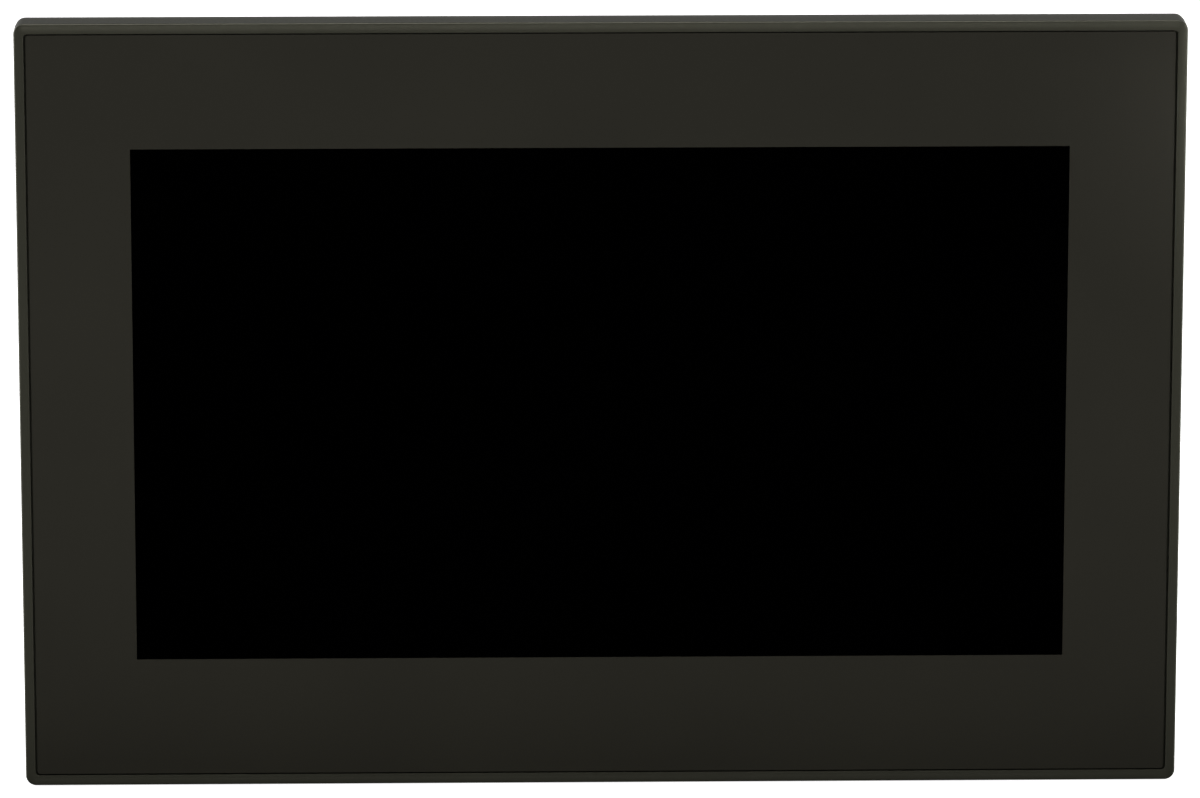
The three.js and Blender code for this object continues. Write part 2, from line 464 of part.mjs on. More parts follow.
// ================================================================ clamps
const clampSites = [[-1, 1], [1, 1], [-1, -1], [1, -1]];
clampSites.forEach(([sx, sz], i) => {
  const g = group(panel, sx * CLAMP_X, 0, 0);
  if (sz < 0) g.rotation.y = Math.PI;      // the lower pair is the upper pair turned half a turn
  const a = CLAMP_AXIS, n = i + 1;
  piece(g, `clamp_bracket_${n}`, cut(union(
    box(-7, 7, 4.5, 22, 79.3, 80.9),
    box(-7, 7, 20.4, 22, 79.3, 87.4),
    box(-4.2, 4.2, 9.4, 11.0, 75.2, 79.6),
    box(-4.2, 4.2, 9.0 - 0.2, 11.0, 75.0, 76.2)),
    at(rod('y', CLAMP_SCREW_R + 0.12, 19, 24, 20), 0, 0, a)), 'steel');
  const prof = [[0, 7.8], [1.4, 7.8], [CLAMP_SCREW_R, 8.7], [CLAMP_SCREW_R, 28.5], [3.2, 28.5], [3.2, 31.0], [2.8, 31.5], [0, 31.5]];
  piece(g, `clamp_screw_${n}`, cut(
    new THREE.LatheGeometry(prof.map(p => new THREE.Vector2(p[0], p[1])), 14),
    box(-0.5, 0.5, 30.1, 33, -4, 4)), 'zinc', 0, 0, a);
  piece(g, `clamp_foot_${n}`, cut(
    box(-6.2, 6.2, CLAMP_FOOT_Y, CLAMP_FOOT_Y + 3.2, 81.3, 90.6),
    at(rod('y', 2.4, CLAMP_FOOT_Y + 1.5, CLAMP_FOOT_Y + 5, 20), 0, 0, a)), 'foot');
});

export default panel;
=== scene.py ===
import bpy, bmesh, math, random
from mathutils import Matrix, Vector


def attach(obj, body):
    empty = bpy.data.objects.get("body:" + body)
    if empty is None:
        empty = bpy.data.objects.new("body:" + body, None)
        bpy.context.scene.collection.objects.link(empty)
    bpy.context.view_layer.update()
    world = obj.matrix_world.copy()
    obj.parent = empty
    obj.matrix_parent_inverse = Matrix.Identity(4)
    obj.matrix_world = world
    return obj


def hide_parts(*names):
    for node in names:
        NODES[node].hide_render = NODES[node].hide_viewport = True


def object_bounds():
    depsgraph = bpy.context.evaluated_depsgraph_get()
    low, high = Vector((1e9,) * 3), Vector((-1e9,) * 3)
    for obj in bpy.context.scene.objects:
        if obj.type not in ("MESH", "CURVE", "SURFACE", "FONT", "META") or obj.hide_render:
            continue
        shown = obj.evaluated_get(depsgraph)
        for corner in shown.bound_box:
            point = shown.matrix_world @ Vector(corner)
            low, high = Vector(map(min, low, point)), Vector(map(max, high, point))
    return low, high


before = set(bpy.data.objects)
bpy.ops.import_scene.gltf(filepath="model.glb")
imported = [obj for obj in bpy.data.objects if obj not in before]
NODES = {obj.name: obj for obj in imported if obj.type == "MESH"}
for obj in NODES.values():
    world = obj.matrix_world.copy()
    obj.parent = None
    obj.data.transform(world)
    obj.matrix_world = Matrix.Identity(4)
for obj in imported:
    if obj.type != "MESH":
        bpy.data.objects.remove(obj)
CAD_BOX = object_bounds()
PI = math.pi
random.seed(7)

# ------------------------------------------------------------------ sizes (mm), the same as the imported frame's
BW, BH, BD = 277.5 / 2, 187.0 / 2, 10.0          # front frame half width, half height, depth
REC_X, REC_Z0, REC_Z1 = 136.38, -90.86, 91.13    # pocket in the frame
WCX, WCZ, WW, WH = -0.25, 0.65, 222.7, 125.3     # screen window
HX, HZ = 128.5, 83.0                             # rear housing half sizes
STEP_Y, REAR_Y = 18.0, 38.0
RX, RZ0, RZ1 = 110.0, -50.0, 78.0
WALL = 2.4
SCREW_X, SCREW_Z = 122.5, 77.2
CONN_Y = 20.05
FACE_Z = -50.3
POWER_X, SERIAL_X, LAN_X, USB_X, RESET_X, CARD_X = -90.0, -57.0, (-25.5, -6.5), (14.0, 33.0), 52.0, 80.0
PIN_Y, PIN_Z = 28.8, -52.0
CLAMP_X, CLAMP_AX = 104.0, 83.8


# ================================================================== mesh tools: everything is built in millimetres
def mesh_object(name, verts, faces):
    me = bpy.data.meshes.new(name)
    me.from_pydata([tuple(v) for v in verts], [], [tuple(f) for f in faces])
    me.validate()
    o = bpy.data.objects.new(name, me)
    bpy.context.scene.collection.objects.link(o)
    fix_normals(o)
    return o


def fix_normals(o):
    bm = bmesh.new()
    bm.from_mesh(o.data)
    bmesh.ops.recalc_face_normals(bm, faces=bm.faces)
    if bm.calc_volume(signed=True) < 0:
        bmesh.ops.reverse_faces(bm, faces=bm.faces)
    bm.to_mesh(o.data)
    bm.free()


def rr(x0, x1, z0, z1, r, y, n=10, plane="xz"):
    """Round-cornered rectangle as a loop of 4 * (n + 1) points. plane xz: at depth y; plane xy: at height y; plane yz: at x = y."""
    r = max(r, 1e-4)
    pts = []
    for cx, cz, a0 in ((x1 - r, z0 + r, -90), (x1 - r, z1 - r, 0), (x0 + r, z1 - r, 90), (x0 + r, z0 + r, 180)):
        for i in range(n + 1):
            a = math.radians(a0 + 90 * i / n)
            pts.append((cx + r * math.cos(a), cz + r * math.sin(a)))
    if plane == "xz":
        return [(p[0], y, p[1]) for p in pts]
    if plane == "xy":
        return [(p[0], p[1], y) for p in pts]
    return [(y, p[0], p[1]) for p in pts]


def loft(name, loops, ring=False, caps=True):
    """Joins loops of equal length in order; ring closes the last to the first, otherwise both ends are capped."""
    n = len(loops[0])
    verts = [p for l in loops for p in l]
    faces = []
    m = len(loops)
    for k in range(m if ring else m - 1):
        a, b = k * n, ((k + 1) % m) * n
        for i in range(n):
            j = (i + 1) % n
            faces.append((a + i, a + j, b + j, b + i))
    if not ring and caps:
        faces.append(tuple(range(n)))
        faces.append(tuple(range((m - 1) * n, m * n)))
    return mesh_object(name, verts, faces)


def rbox(name, x0, x1, y0, y1, z0, z1, r=0.4, seg=3):
    """A box with rounded edges."""
    bm = bmesh.new()
    bmesh.ops.create_cube(bm, size=1.0)
    for v in bm.verts:
        v.co = Vector(((x0 + x1) / 2 + v.co.x * (x1 - x0), (y0 + y1) / 2 + v.co.y * (y1 - y0), (z0 + z1) / 2 + v.co.z * (z1 - z0)))
    r = min(r, 0.45 * min(x1 - x0, y1 - y0, z1 - z0))
    if r > 0:
        bmesh.ops.bevel(bm, geom=list(bm.edges), offset=r, offset_type="OFFSET", segments=seg, profile=0.5, affect="EDGES", clamp_overlap=True)
    me = bpy.data.meshes.new(name)
    bm.to_mesh(me)
    bm.free()
    o = bpy.data.objects.new(name, me)
    bpy.context.scene.collection.objects.link(o)
    fix_normals(o)
    return o


def slab(name, x0, x1, z0, z1, r, y0, y1, f0=0.0, f1=0.0, n=10, seg=4):
    """Round-cornered slab from y0 to y1, with edge rounds f0 at y0 and f1 at y1."""
    loops = []
    if f0 > 0:
        for i in range(seg + 1):
            a = PI / 2 * i / seg
            d = f0 * (1 - math.sin(a))
            loops.append(rr(x0 + d, x1 - d, z0 + d, z1 - d, r - d, y0 + f0 * (1 - math.cos(a)), n))
    else:
        loops.append(rr(x0, x1, z0, z1, r, y0, n))
    if f1 > 0:
        for i in range(seg + 1):
            a = PI / 2 * i / seg
            d = f1 * (1 - math.cos(a))
            loops.append(rr(x0 + d, x1 - d, z0 + d, z1 - d, r - d, y1 - f1 * (1 - math.sin(a)), n))
    else:
        loops.append(rr(x0, x1, z0, z1, r, y1, n))
    return loft(name, loops)


def lathe(name, prof, axis="y", at=(0, 0, 0), n=40):
    """Turned body; prof is (radius, along) from axis to axis."""
    verts, faces, rings = [], [], []
    for r, h in prof:
        if r < 1e-6:
            rings.append([len(verts)])
            verts.append((0, h, 0))
        else:
            s = len(verts)
            rings.append(list(range(s, s + n)))
            for i in range(n):
                a = 2 * PI * i / n
                verts.append((r * math.cos(a), h, r * math.sin(a)))
    for a, b in zip(rings, rings[1:]):
        for i in range(n):
            j = (i + 1) % n
            if len(a) == 1 and len(b) == 1:
                continue
            if len(a) == 1:
                faces.append((a[0], b[j], b[i]))
            elif len(b) == 1:
                faces.append((a[i], a[j], b[0]))
            else:
                faces.append((a[i], a[j], b[j], b[i]))
    if len(rings[0]) > 1 and len(rings[-1]) > 1:  # an open tube's profile is closed on itself
        a, b = rings[-1], rings[0]
        for i in range(n):
            j = (i + 1) % n
            faces.append((a[i], a[j], b[j], b[i]))
    if axis == "z":
        verts = [(x, z, y) for x, y, z in verts]
    if axis == "x":
        verts = [(y, x, z) for x, y, z in verts]
    verts = [(x + at[0], y + at[1], z + at[2]) for x, y, z in verts]
    return mesh_object(name, verts, faces)


def rod(name, axis, r, a0, a1, at=(0, 0, 0), n=40):
    return lathe(name, [(0, a0), (r, a0), (r, a1), (0, a1)], axis, at, n)


def prism(name, pts, axis, a0, a1):
    """A flat outline pushed along an axis. pts: axis x -> (y, z), axis y -> (x, z), axis z -> (x, y)."""
    def put(p, a):
        return {"x": (a, p[0], p[1]), "y": (p[0], a, p[1]), "z": (p[0], p[1], a)}[axis]
    n = len(pts)
    verts = [put(p, a0) for p in pts] + [put(p, a1) for p in pts]
    faces = [tuple(range(n)), tuple(range(n, 2 * n))] + [(i, (i + 1) % n, n + (i + 1) % n, n + i) for i in range(n)]
    return mesh_object(name, verts, faces)


def join(*objs):
    """One mesh out of several, kept as separate shells."""
    bm = bmesh.new()
    for o in objs:
        bm.from_mesh(o.data)
    me = bpy.data.meshes.new(objs[0].name)
    bm.to_mesh(me)
    bm.free()
    first = objs[0]
    old = first.data
    first.data = me
    bpy.data.meshes.remove(old)
    for o in objs[1:]:
        drop(o)
    return first


def drop(o):
    me = o.data
    bpy.data.objects.remove(o)
    bpy.data.meshes.remove(me)


def boolean(o, other, op="DIFFERENCE", keep=False):
    m = o.modifiers.new("b", "BOOLEAN")
    m.operation = op
    m.solver = "EXACT"
    m.object = other
    bpy.context.view_layer.update()
    dg = bpy.context.evaluated_depsgraph_get()
    me = bpy.data.meshes.new_from_object(o.evaluated_get(dg))
    o.modifiers.clear()
    old = o.data
    o.data = me
    bpy.data.meshes.remove(old)
    if not keep:
        drop(other)
    if not o.data.polygons:
        raise RuntimeError("nothing left of " + o.name)
    return o


def cut(o, *others):
    for c in others:
        boolean(o, c, "DIFFERENCE")
    return o


def add(o, *others):
    for c in others:
        boolean(o, c, "UNION")
    return o


def bevel_edges(o, width, seg=2, angle=30):
    """Rounds every edge sharper than angle, in the mesh itself."""
    bm = bmesh.new()
    bm.from_mesh(o.data)
    bmesh.ops.remove_doubles(bm, verts=bm.verts, dist=1e-4)
    bmesh.ops.dissolve_limit(bm, angle_limit=math.radians(0.5), verts=bm.verts, edges=bm.edges)
    es = [e for e in bm.edges if len(e.link_faces) == 2 and e.calc_face_angle(0) > math.radians(angle)]
    bmesh.ops.bevel(bm, geom=es, offset=width, offset_type="OFFSET", segments=seg, profile=0.5, affect="EDGES", clamp_overlap=True)
    bm.to_mesh(o.data)
    bm.free()
    return o


# cutters with a flared mouth leave a small chamfer round what they cut
def slot_cutter(name, cx, cy, half_w, half_l, a0, a1, face, flare, plane):
    """Stadium slot. plane xz: cuts along y, centre (cx, cy) is (x, z), long way up z; plane xy: cuts along z, centre is (x, y), long way along y."""
    r = half_w
    loops = []
    sign = 1 if a1 > a0 else -1
    for d, a in ((0, a0), (0, face - sign * flare), (flare, face), (flare * 1.6, face + sign * flare * 0.6), (flare * 1.6, a1)):
        loops.append(rr(cx - half_w - d, cx + half_w + d, cy - half_l - d, cy + half_l + d, r + d - 1e-3, a, 6, plane))
    return loft(name, loops)


def window_cutter(name, x0, x1, y0, y1, r, a0, face, a1, flare, plane="xy"):
    loops = []
    sign = 1 if a1 > a0 else -1
    for d, a in ((0, a0), (0, face - sign * flare), (flare, face), (flare * 1.5, face + sign * flare * 0.5), (flare * 1.5, a1)):
        loops.append(rr(x0 - d, x1 + d, y0 - d, y1 + d, r + d, a, 4, plane))
    return loft(name, loops)


def move(o, x=0, y=0, z=0):
    o.data.transform(Matrix.Translation((x, y, z)))
    return o


def half_turn(o):
    """Half a turn about the depth axis, as the lower clamps are placed."""
    o.data.transform(Matrix.Rotation(PI, 4, "Y"))
    return o


# ================================================================== materials
def base_material(name):
    m = bpy.data.materials.new(name)
    m.use_nodes = True
    nt = m.node_tree
    b = nt.nodes["Principled BSDF"]
    tc = nt.nodes.new("ShaderNodeTexCoord")
    return m, nt, b, tc.outputs["Object"]


def noise(nt, vec, scale, detail=2.0, rough=0.5, stretch=None):
    if stretch:
        mp = nt.nodes.new("ShaderNodeMapping")
        mp.inputs["Scale"].default_value = stretch
        nt.links.new(vec, mp.inputs["Vector"])
        vec = mp.outputs["Vector"]
    n = nt.nodes.new("ShaderNodeTexNoise")
    n.inputs["Scale"].default_value = scale
    n.inputs["Detail"].default_value = detail
    n.inputs["Roughness"].default_value = rough
    nt.links.new(vec, n.inputs["Vector"])
    return n.outputs["Fac"]


def remap(nt, value, a, b, lo, hi):
    r = nt.nodes.new("ShaderNodeMapRange")
    r.inputs["From Min"].default_value = a
    r.inputs["From Max"].default_value = b
    r.inputs["To Min"].default_value = lo
    r.inputs["To Max"].default_value = hi
    nt.links.new(value, r.inputs["Value"])
    return r.outputs["Result"]


def mix_colour(nt, fac, a, b):
    m = nt.nodes.new("ShaderNodeMix")
    m.data_type = "RGBA"
    m.inputs[6].default_value = (*a, 1)
    m.inputs[7].default_value = (*b, 1)
    nt.links.new(fac, m.inputs[0])
    return m.outputs[2]


def bump(nt, b, height, strength, distance, normal=None):
    n = nt.nodes.new("ShaderNodeBump")
    n.inputs["Strength"].default_value = strength
    n.inputs["Distance"].default_value = distance
    nt.links.new(height, n.inputs["Height"])
    if normal is not None:
        nt.links.new(normal, n.inputs["Normal"])
    nt.links.new(n.outputs["Normal"], b.inputs["Normal"])
    return n.outputs["Normal"]


def plastic(name, colour, rough=0.5, grain=2600, height=2.0e-5, strength=0.5, vary=0.06, spec=0.5, coat=0.0, tint=(1, 1, 1)):
    """Moulded plastic: spark-eroded grain, slow colour drift and uneven gloss."""
    m, nt, b, vec = base_material(name)
    b.inputs["Specular IOR Level"].default_value = spec
    b.inputs["Specular Tint"].default_value = (*tint, 1)
    if coat:
        b.inputs["Coat Weight"].default_value = coat
        b.inputs["Coat Roughness"].default_value = 0.25
    slow = noise(nt, vec, 22, 3, 0.55)
    fine = noise(nt, vec, grain, 2, 0.6)
    lo, hi = tuple(c * (1 - vary) for c in colour), tuple(c * (1 + vary) for c in colour)
    nt.links.new(mix_colour(nt, remap(nt, slow, 0.3, 0.7, 0, 1), lo, hi), b.inputs["Base Color"])
    nt.links.new(remap(nt, fine, 0.3, 0.7, rough - 0.04, rough + 0.05), b.inputs["Roughness"])
    bump(nt, b, fine, strength, height)
    return m


def metal(name, colour, rough=0.35, grain=900, stretch=(1, 1, 12), strength=0.25, height=1.0e-5, vary=0.10, metallic=1.0):
    """Plated or brushed metal: drawn grain one way, blotchy plating."""
    m, nt, b, vec = base_material(name)
    b.inputs["Metallic"].default_value = metallic
    slow = noise(nt, vec, 160, 4, 0.6)
    fine = noise(nt, vec, grain, 3, 0.6, stretch)
    lo, hi = tuple(c * (1 - vary) for c in colour), tuple(min(1, c * (1 + vary)) for c in colour)
    nt.links.new(mix_colour(nt, remap(nt, slow, 0.35, 0.65, 0, 1), lo, hi), b.inputs["Base Color"])
    nt.links.new(remap(nt, fine, 0.3, 0.7, rough - 0.08, rough + 0.10), b.inputs["Roughness"])
    bump(nt, b, fine, strength, height)
    return m


def rubber(name, colour, rough=0.85):
    m, nt, b, vec = base_material(name)
    b.inputs["Specular IOR Level"].default_value = 0.3
    cells = nt.nodes.new("ShaderNodeTexVoronoi")
    cells.inputs["Scale"].default_value = 2400
    nt.links.new(vec, cells.inputs["Vector"])
    slow = noise(nt, vec, 60, 3, 0.6)
    lo, hi = tuple(c * 0.8 for c in colour), tuple(c * 1.25 for c in colour)
    nt.links.new(mix_colour(nt, remap(nt, slow, 0.3, 0.7, 0, 1), lo, hi), b.inputs["Base Color"])
    nt.links.new(remap(nt, slow, 0.3, 0.7, rough - 0.08, rough + 0.05), b.inputs["Roughness"])
    bump(nt, b, cells.outputs["Distance"], 0.5, 3e-5)
    return m


def screen_glass(name):
    """Unlit screen under hard-coated glass: black, with very faint uneven gloss."""
    m, nt, b, vec = base_material(name)
    b.inputs["Specular IOR Level"].default_value = 0.5
    slow = noise(nt, vec, 14, 4, 0.6)
    nt.links.new(mix_colour(nt, remap(nt, slow, 0.3, 0.7, 0, 1), (0.00006, 0.00006, 0.00008), (0.00012, 0.00012, 0.00015)), b.inputs["Base Color"])
    nt.links.new(remap(nt, slow, 0.35, 0.65, 0.05, 0.09), b.inputs["Roughness"])
    return m


def board_material(name):
    """Green solder resist over copper tracks."""
    m, nt, b, vec = base_material(name)
    b.inputs["Specular IOR Level"].default_value = 0.5
    brick = nt.nodes.new("ShaderNodeTexBrick")
    mp = nt.nodes.new("ShaderNodeMapping")
    mp.inputs["Rotation"].default_value = (PI / 2, 0, 0)
    nt.links.new(vec, mp.inputs["Vector"])
    brick.inputs["Scale"].default_value = 260
    brick.inputs["Mortar Size"].default_value = 0.06
    brick.inputs["Color1"].default_value = (0.010, 0.085, 0.034, 1)
    brick.inputs["Color2"].default_value = (0.012, 0.100, 0.040, 1)
    brick.inputs["Mortar"].default_value = (0.020, 0.150, 0.062, 1)
    nt.links.new(mp.outputs["Vector"], brick.inputs["Vector"])
    nt.links.new(brick.outputs["Color"], b.inputs["Base Color"])
    slow = noise(nt, vec, 90, 2, 0.5)
    nt.links.new(remap(nt, slow, 0.3, 0.7, 0.32, 0.48), b.inputs["Roughness"])
    bump(nt, b, brick.outputs["Fac"], 0.3, 2e-5)
    return m


def label_material(name, cx, cz, hw, hh):
    """Brushed silver plate, printed with an empty border and ruled fields. No lettering."""
    m, nt, b, vec = base_material(name)
    b.inputs["Metallic"].default_value = 0.6
    sep = nt.nodes.new("ShaderNodeSeparateXYZ")
    nt.links.new(vec, sep.inputs[0])

    def math_node(op, a, v=None, other=None):
        n = nt.nodes.new("ShaderNodeMath")
        n.operation = op
        nt.links.new(a, n.inputs[0])
        if other is not None:
            nt.links.new(other, n.inputs[1])
        elif v is not None:
            n.inputs[1].default_value = v
        return n.outputs[0]
    x = math_node("ABSOLUTE", math_node("SUBTRACT", sep.outputs["X"], cx))
    z = math_node("SUBTRACT", sep.outputs["Z"], cz)
    az = math_node("ABSOLUTE", z)

    def line(value, at, half):
        d = math_node("ABSOLUTE", math_node("SUBTRACT", value, at))
        return math_node("LESS_THAN", d, half)
    inside_x = math_node("LESS_THAN", x, hw - 0.0019)
    inside_z = math_node("LESS_THAN", az, hh - 0.0019)
    marks = [math_node("MULTIPLY", line(x, hw - 0.0020, 0.00022), other=inside_z),
             math_node("MULTIPLY", line(az, hh - 0.0020, 0.00022), other=inside_x)]
    for at in (-0.0078, -0.0005, 0.0068):
        marks.append(math_node("MULTIPLY", line(z, at, 0.00011), other=inside_x))
    total = marks[0]
    for k in marks[1:]:
        total = math_node("MAXIMUM", total, other=k)
    slow = noise(nt, vec, 1600, 2, 0.5, (1, 1, 14))
    silver = mix_colour(nt, remap(nt, slow, 0.3, 0.7, 0, 1), (0.50, 0.51, 0.52), (0.62, 0.63, 0.64))
    mx = nt.nodes.new("ShaderNodeMix")
    mx.data_type = "RGBA"
    nt.links.new(total, mx.inputs[0])
    nt.links.new(silver, mx.inputs[6])
    mx.inputs[7].default_value = (0.012, 0.012, 0.013, 1)
    nt.links.new(mx.outputs[2], b.inputs["Base Color"])
    nt.links.new(remap(nt, slow, 0.3, 0.7, 0.34, 0.5), b.inputs["Roughness"])
    bump(nt, b, slow, 0.15, 8e-6)
    return m


M = {
    "bezel": plastic("bezel_moulding", (0.0225, 0.0226, 0.0165), 0.36, 2400, 1.2e-5, 0.30, 0.05, tint=(1, 0.98, 0.78)),
    "film": plastic("film_matt", (0.0139, 0.0128, 0.0079), 0.62, 3600, 1.0e-5, 0.30, 0.06, spec=0.30),
    "screen_glass": screen_glass("screen_black"),
    "gasket_rubber": rubber("gasket_foam", (0.016, 0.016, 0.016)),
    "tape": rubber("foam_tape", (0.010, 0.010, 0.010)),
    "lcd_glass": plastic("display_cell", (0.010, 0.010, 0.012), 0.15, 4000, 2e-6, 0.1, 0.1),
    "acrylic": plastic("light_guide", (0.78, 0.80, 0.80), 0.25, 1200, 8e-6, 0.2, 0.02),
    "steel": metal("zinc_sheet", (0.50, 0.51, 0.52), 0.38, 700, (1, 8, 1), 0.2),
    "ribbon": plastic("flat_cable", (0.42, 0.20, 0.035), 0.35, 1500, 6e-6, 0.2, 0.08),
    "board": board_material("circuit_board"),
    "chip": plastic("epoxy_black", (0.016, 0.016, 0.017), 0.5, 5200, 1.2e-5, 0.4, 0.1),
    "sink": metal("fin_aluminium", (0.60, 0.61, 0.62), 0.34, 600, (1, 1, 14), 0.3),
    "can": metal("drawn_can", (0.66, 0.66, 0.67), 0.28, 500, (1, 10, 1), 0.2),
    "jack_metal": metal("tinned_shell", (0.62, 0.61, 0.58), 0.30, 800, (1, 1, 10), 0.2),
    "terminal": plastic("terminal_green", (0.020, 0.190, 0.055), 0.42, 2600, 1.4e-5, 0.35, 0.06),
    "card": plastic("card_shell", (0.014, 0.015, 0.018), 0.45, 3000, 1.0e-5, 0.3, 0.08),
    "button": plastic("button_cap", (0.020, 0.020, 0.022), 0.40, 2600, 1.2e-5, 0.3, 0.06),
    "housing": plastic("housing_texture", (0.0235, 0.0240, 0.0255), 0.56, 1500, 4.5e-5, 0.55, 0.07),
    "label": label_material("blank_plate", 0.055, -0.008, 0.036, 0.018),
    "zinc": metal("zinc_bright", (0.66, 0.67, 0.68), 0.26, 900, (1, 10, 1), 0.2),
    "clamp_shoe": plastic("nylon_black", (0.014, 0.014, 0.015), 0.5, 2200, 2.2e-5, 0.4, 0.08),
}
GOLD = metal("contact_gold", (0.83, 0.60, 0.22), 0.22, 1200, (1, 1, 10), 0.15)
INSERT_BLACK = plastic("insert_black", (0.010, 0.010, 0.011), 0.45, 3000, 1.0e-5, 0.3, 0.08)
INSERT_WHITE = plastic("insert_natural", (0.58, 0.57, 0.53), 0.40, 3000, 1.0e-5, 0.3, 0.04)
LENS_GREEN = plastic("lens_green", (0.05, 0.30, 0.07), 0.22, 3000, 4e-6, 0.2, 0.08, coat=0.4)
LENS_AMBER = plastic("lens_amber", (0.42, 0.19, 0.02), 0.22, 3000, 4e-6, 0.2, 0.08, coat=0.4)
GROUND_EDGE = plastic("ground_glass_edge", (0.130, 0.132, 0.120), 0.6, 1800, 1.5e-5, 0.3, 0.10, spec=0.3)
BRASS = metal("brass_cage", (0.60, 0.45, 0.20), 0.30, 900, (1, 10, 1), 0.2)


def finish_piece(o, mat, body="enclosure", replaces=(), angle=32, weighted=True):
    """From millimetres to metres, smooth shading with crisp edges, material and body."""
    me = o.data
    me.transform(Matrix.Diagonal((0.001, 0.001, 0.001, 1)))
    me.materials.clear()
    me.materials.append(mat)
    for p in me.polygons:
        p.use_smooth = True
    me.set_sharp_from_angle(angle=math.radians(angle))
    if weighted:
        w = o.modifiers.new("even_normals", "WEIGHTED_NORMAL")
        w.keep_sharp = True
    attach(o, body)
    if replaces:
        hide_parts(*replaces)
    return o


def dress(node, slot, bevel=0.15, seg=2, mat=None):
    """A CAD node whose shape is right: its own material, welded faces and softened edges."""
    o = NODES[node]
    o.data.materials.clear()
    o.data.materials.append(mat or M[slot])
    w = o.modifiers.new("weld", "WELD")
    w.merge_threshold = 1e-6
    d = o.modifiers.new("flat", "DECIMATE")
    d.decimate_type = "DISSOLVE"
    d.angle_limit = math.radians(0.5)
    if bevel:
        b = o.modifiers.new("edges", "BEVEL")
        b.width = bevel * 0.001
        b.segments = seg
        b.limit_method = "ANGLE"
        b.angle_limit = math.radians(40)
        b.use_clamp_overlap = True
        b.harden_normals = False
    s = o.modifiers.new("even_normals", "WEIGHTED_NORMAL")
    s.keep_sharp = True
    return o


# ================================================================== front frame
def ring_loop(ins, y, n=14):
    return rr(-BW + ins, BW - ins, -BH + ins, BH - ins, max(2.5 - ins, 0.95), y, n)


def pocket_loop(out, y, n=14):
    return rr(-REC_X - out, REC_X + out, REC_Z0 - out, REC_Z1 + out, 0.9 + out, y, n)


def make_bezel():
    loops = []
    fb, ff, fi, crown = 0.35, 0.55, 0.05, 0.30

    def draft(y):                                  # the wall draws in a little towards its back edge
        return 0.20 * max(0.0, 1 + y / 4.5) ** 2

    for i in range(4):
        a = PI / 2 * i / 3
        y = -fb * (1 - math.cos(a))
        loops.append(ring_loop(fb * (1 - math.sin(a)) + draft(y), y))
    for y in (-0.75, -1.2, -1.7, -2.3, -3.0, -3.7, -4.5, -6.5, -8.6, -9.05):
        loops.append(ring_loop(draft(y), y))
    # outer edge round, then a gently crowned face down to the pocket's edge
    lean = math.radians(14)
    y_edge = -BD + crown
    for i in range(8):
        a = (PI / 2 - lean) * i / 7
        loops.append(ring_loop(ff * (1 - math.cos(a)), y_edge + ff * (math.sin(PI / 2 - lean) - math.sin(a))))
    start = ff * (1 - math.cos(PI / 2 - lean))
    inner = BW - REC_X - fi                        # width of the face at the sides
    for i in range(1, 7):
        f = i / 7
        loops.append(ring_loop(start + (inner - start) * f, y_edge - crown * (1 - (1 - f) ** 1.7)))
    for i in range(5):
        a = PI / 2 * i / 4
        loops.append(pocket_loop(fi * (1 - math.sin(a)), -BD + fi * (1 - math.cos(a))))
    n = 14
    loops.append(pocket_loop(0, -7.55))
    for y in (-7.55, -2.5):
        loops.append(rr(WCX - 118.5, WCX + 118.5, WCZ - 72.5, WCZ + 72.5, 0.4, y, n))
    loops.append(rr(-128.8, 128.8, -83.3, 83.3, 4.3, -2.5, n))
    loops.append(rr(-128.8, 128.8, -83.3, 83.3, 4.3, -0.2, n))
    loops.append(rr(-129.0, 129.0, -83.5, 83.5, 4.4, 0, n))
    loops.append(rr(-130.7, 130.7, -85.35, 85.35, 1.2, 0, n))
    loops.append(rr(-130.7, 130.7, -85.35, 85.35, 1.2, -2.0, n))
    loops.append(rr(-135.7, 135.7, -90.35, 90.35, 1.6, -2.0, n))
    loops.append(rr(-135.7, 135.7, -90.35, 90.35, 1.6, 0, n))
    o = loft("bezel_frame", loops, ring=True)
    return finish_piece(o, M["bezel"], replaces=["front_bezel"])


make_bezel()

FX0, FX1, FZ0, FZ1 = -135.87, 135.81, -90.51, 90.85      # film and glass sit slightly up and to the left


def make_film():
    n = 8
    e = 0.06
    loops = [rr(FX0, FX1, FZ0, FZ1, 0.6, -9.72, n)]
    for i in range(4):
        a = PI / 2 * i / 3
        d = e * (1 - math.cos(a))
        loops.append(rr(FX0 + d, FX1 - d, FZ0 + d, FZ1 - d, 0.6, -9.95 + e * (1 - math.sin(a)), n))
    wx0, wx1, wz0, wz1 = WCX - WW / 2, WCX + WW / 2, WCZ - WH / 2, WCZ + WH / 2
    for i in range(3):
        a = PI / 2 * i / 2
        d = 0.03 * (1 - math.sin(a))
        loops.append(rr(wx0 - d, wx1 + d, wz0 - d, wz1 + d, 0.2, -9.95 + 0.03 * (1 - math.cos(a)), n))
    loops.append(rr(wx0, wx1, wz0, wz1, 0.2, -9.72, n))
    o = loft("film_frame", loops, ring=True)
    return finish_piece(o, M["film"], replaces=["front_film"])


make_film()


def make_pane():
    """Black seen from the front; the cut edge of the glass is ground and paler."""
    o = slab("screen_pane", FX0 + 0.1, FX1 - 0.1, FZ0 + 0.1, FZ1 - 0.1, 0.6, -9.70, -7.90, 0.08, 0.08, 6, 2)
    finish_piece(o, M["screen_glass"], replaces=["touch_glass"])
    o.data.materials.append(GROUND_EDGE)
    for p in o.data.polygons:
        if abs(p.normal.y) < 0.5:
            p.material_index = 1


make_pane()


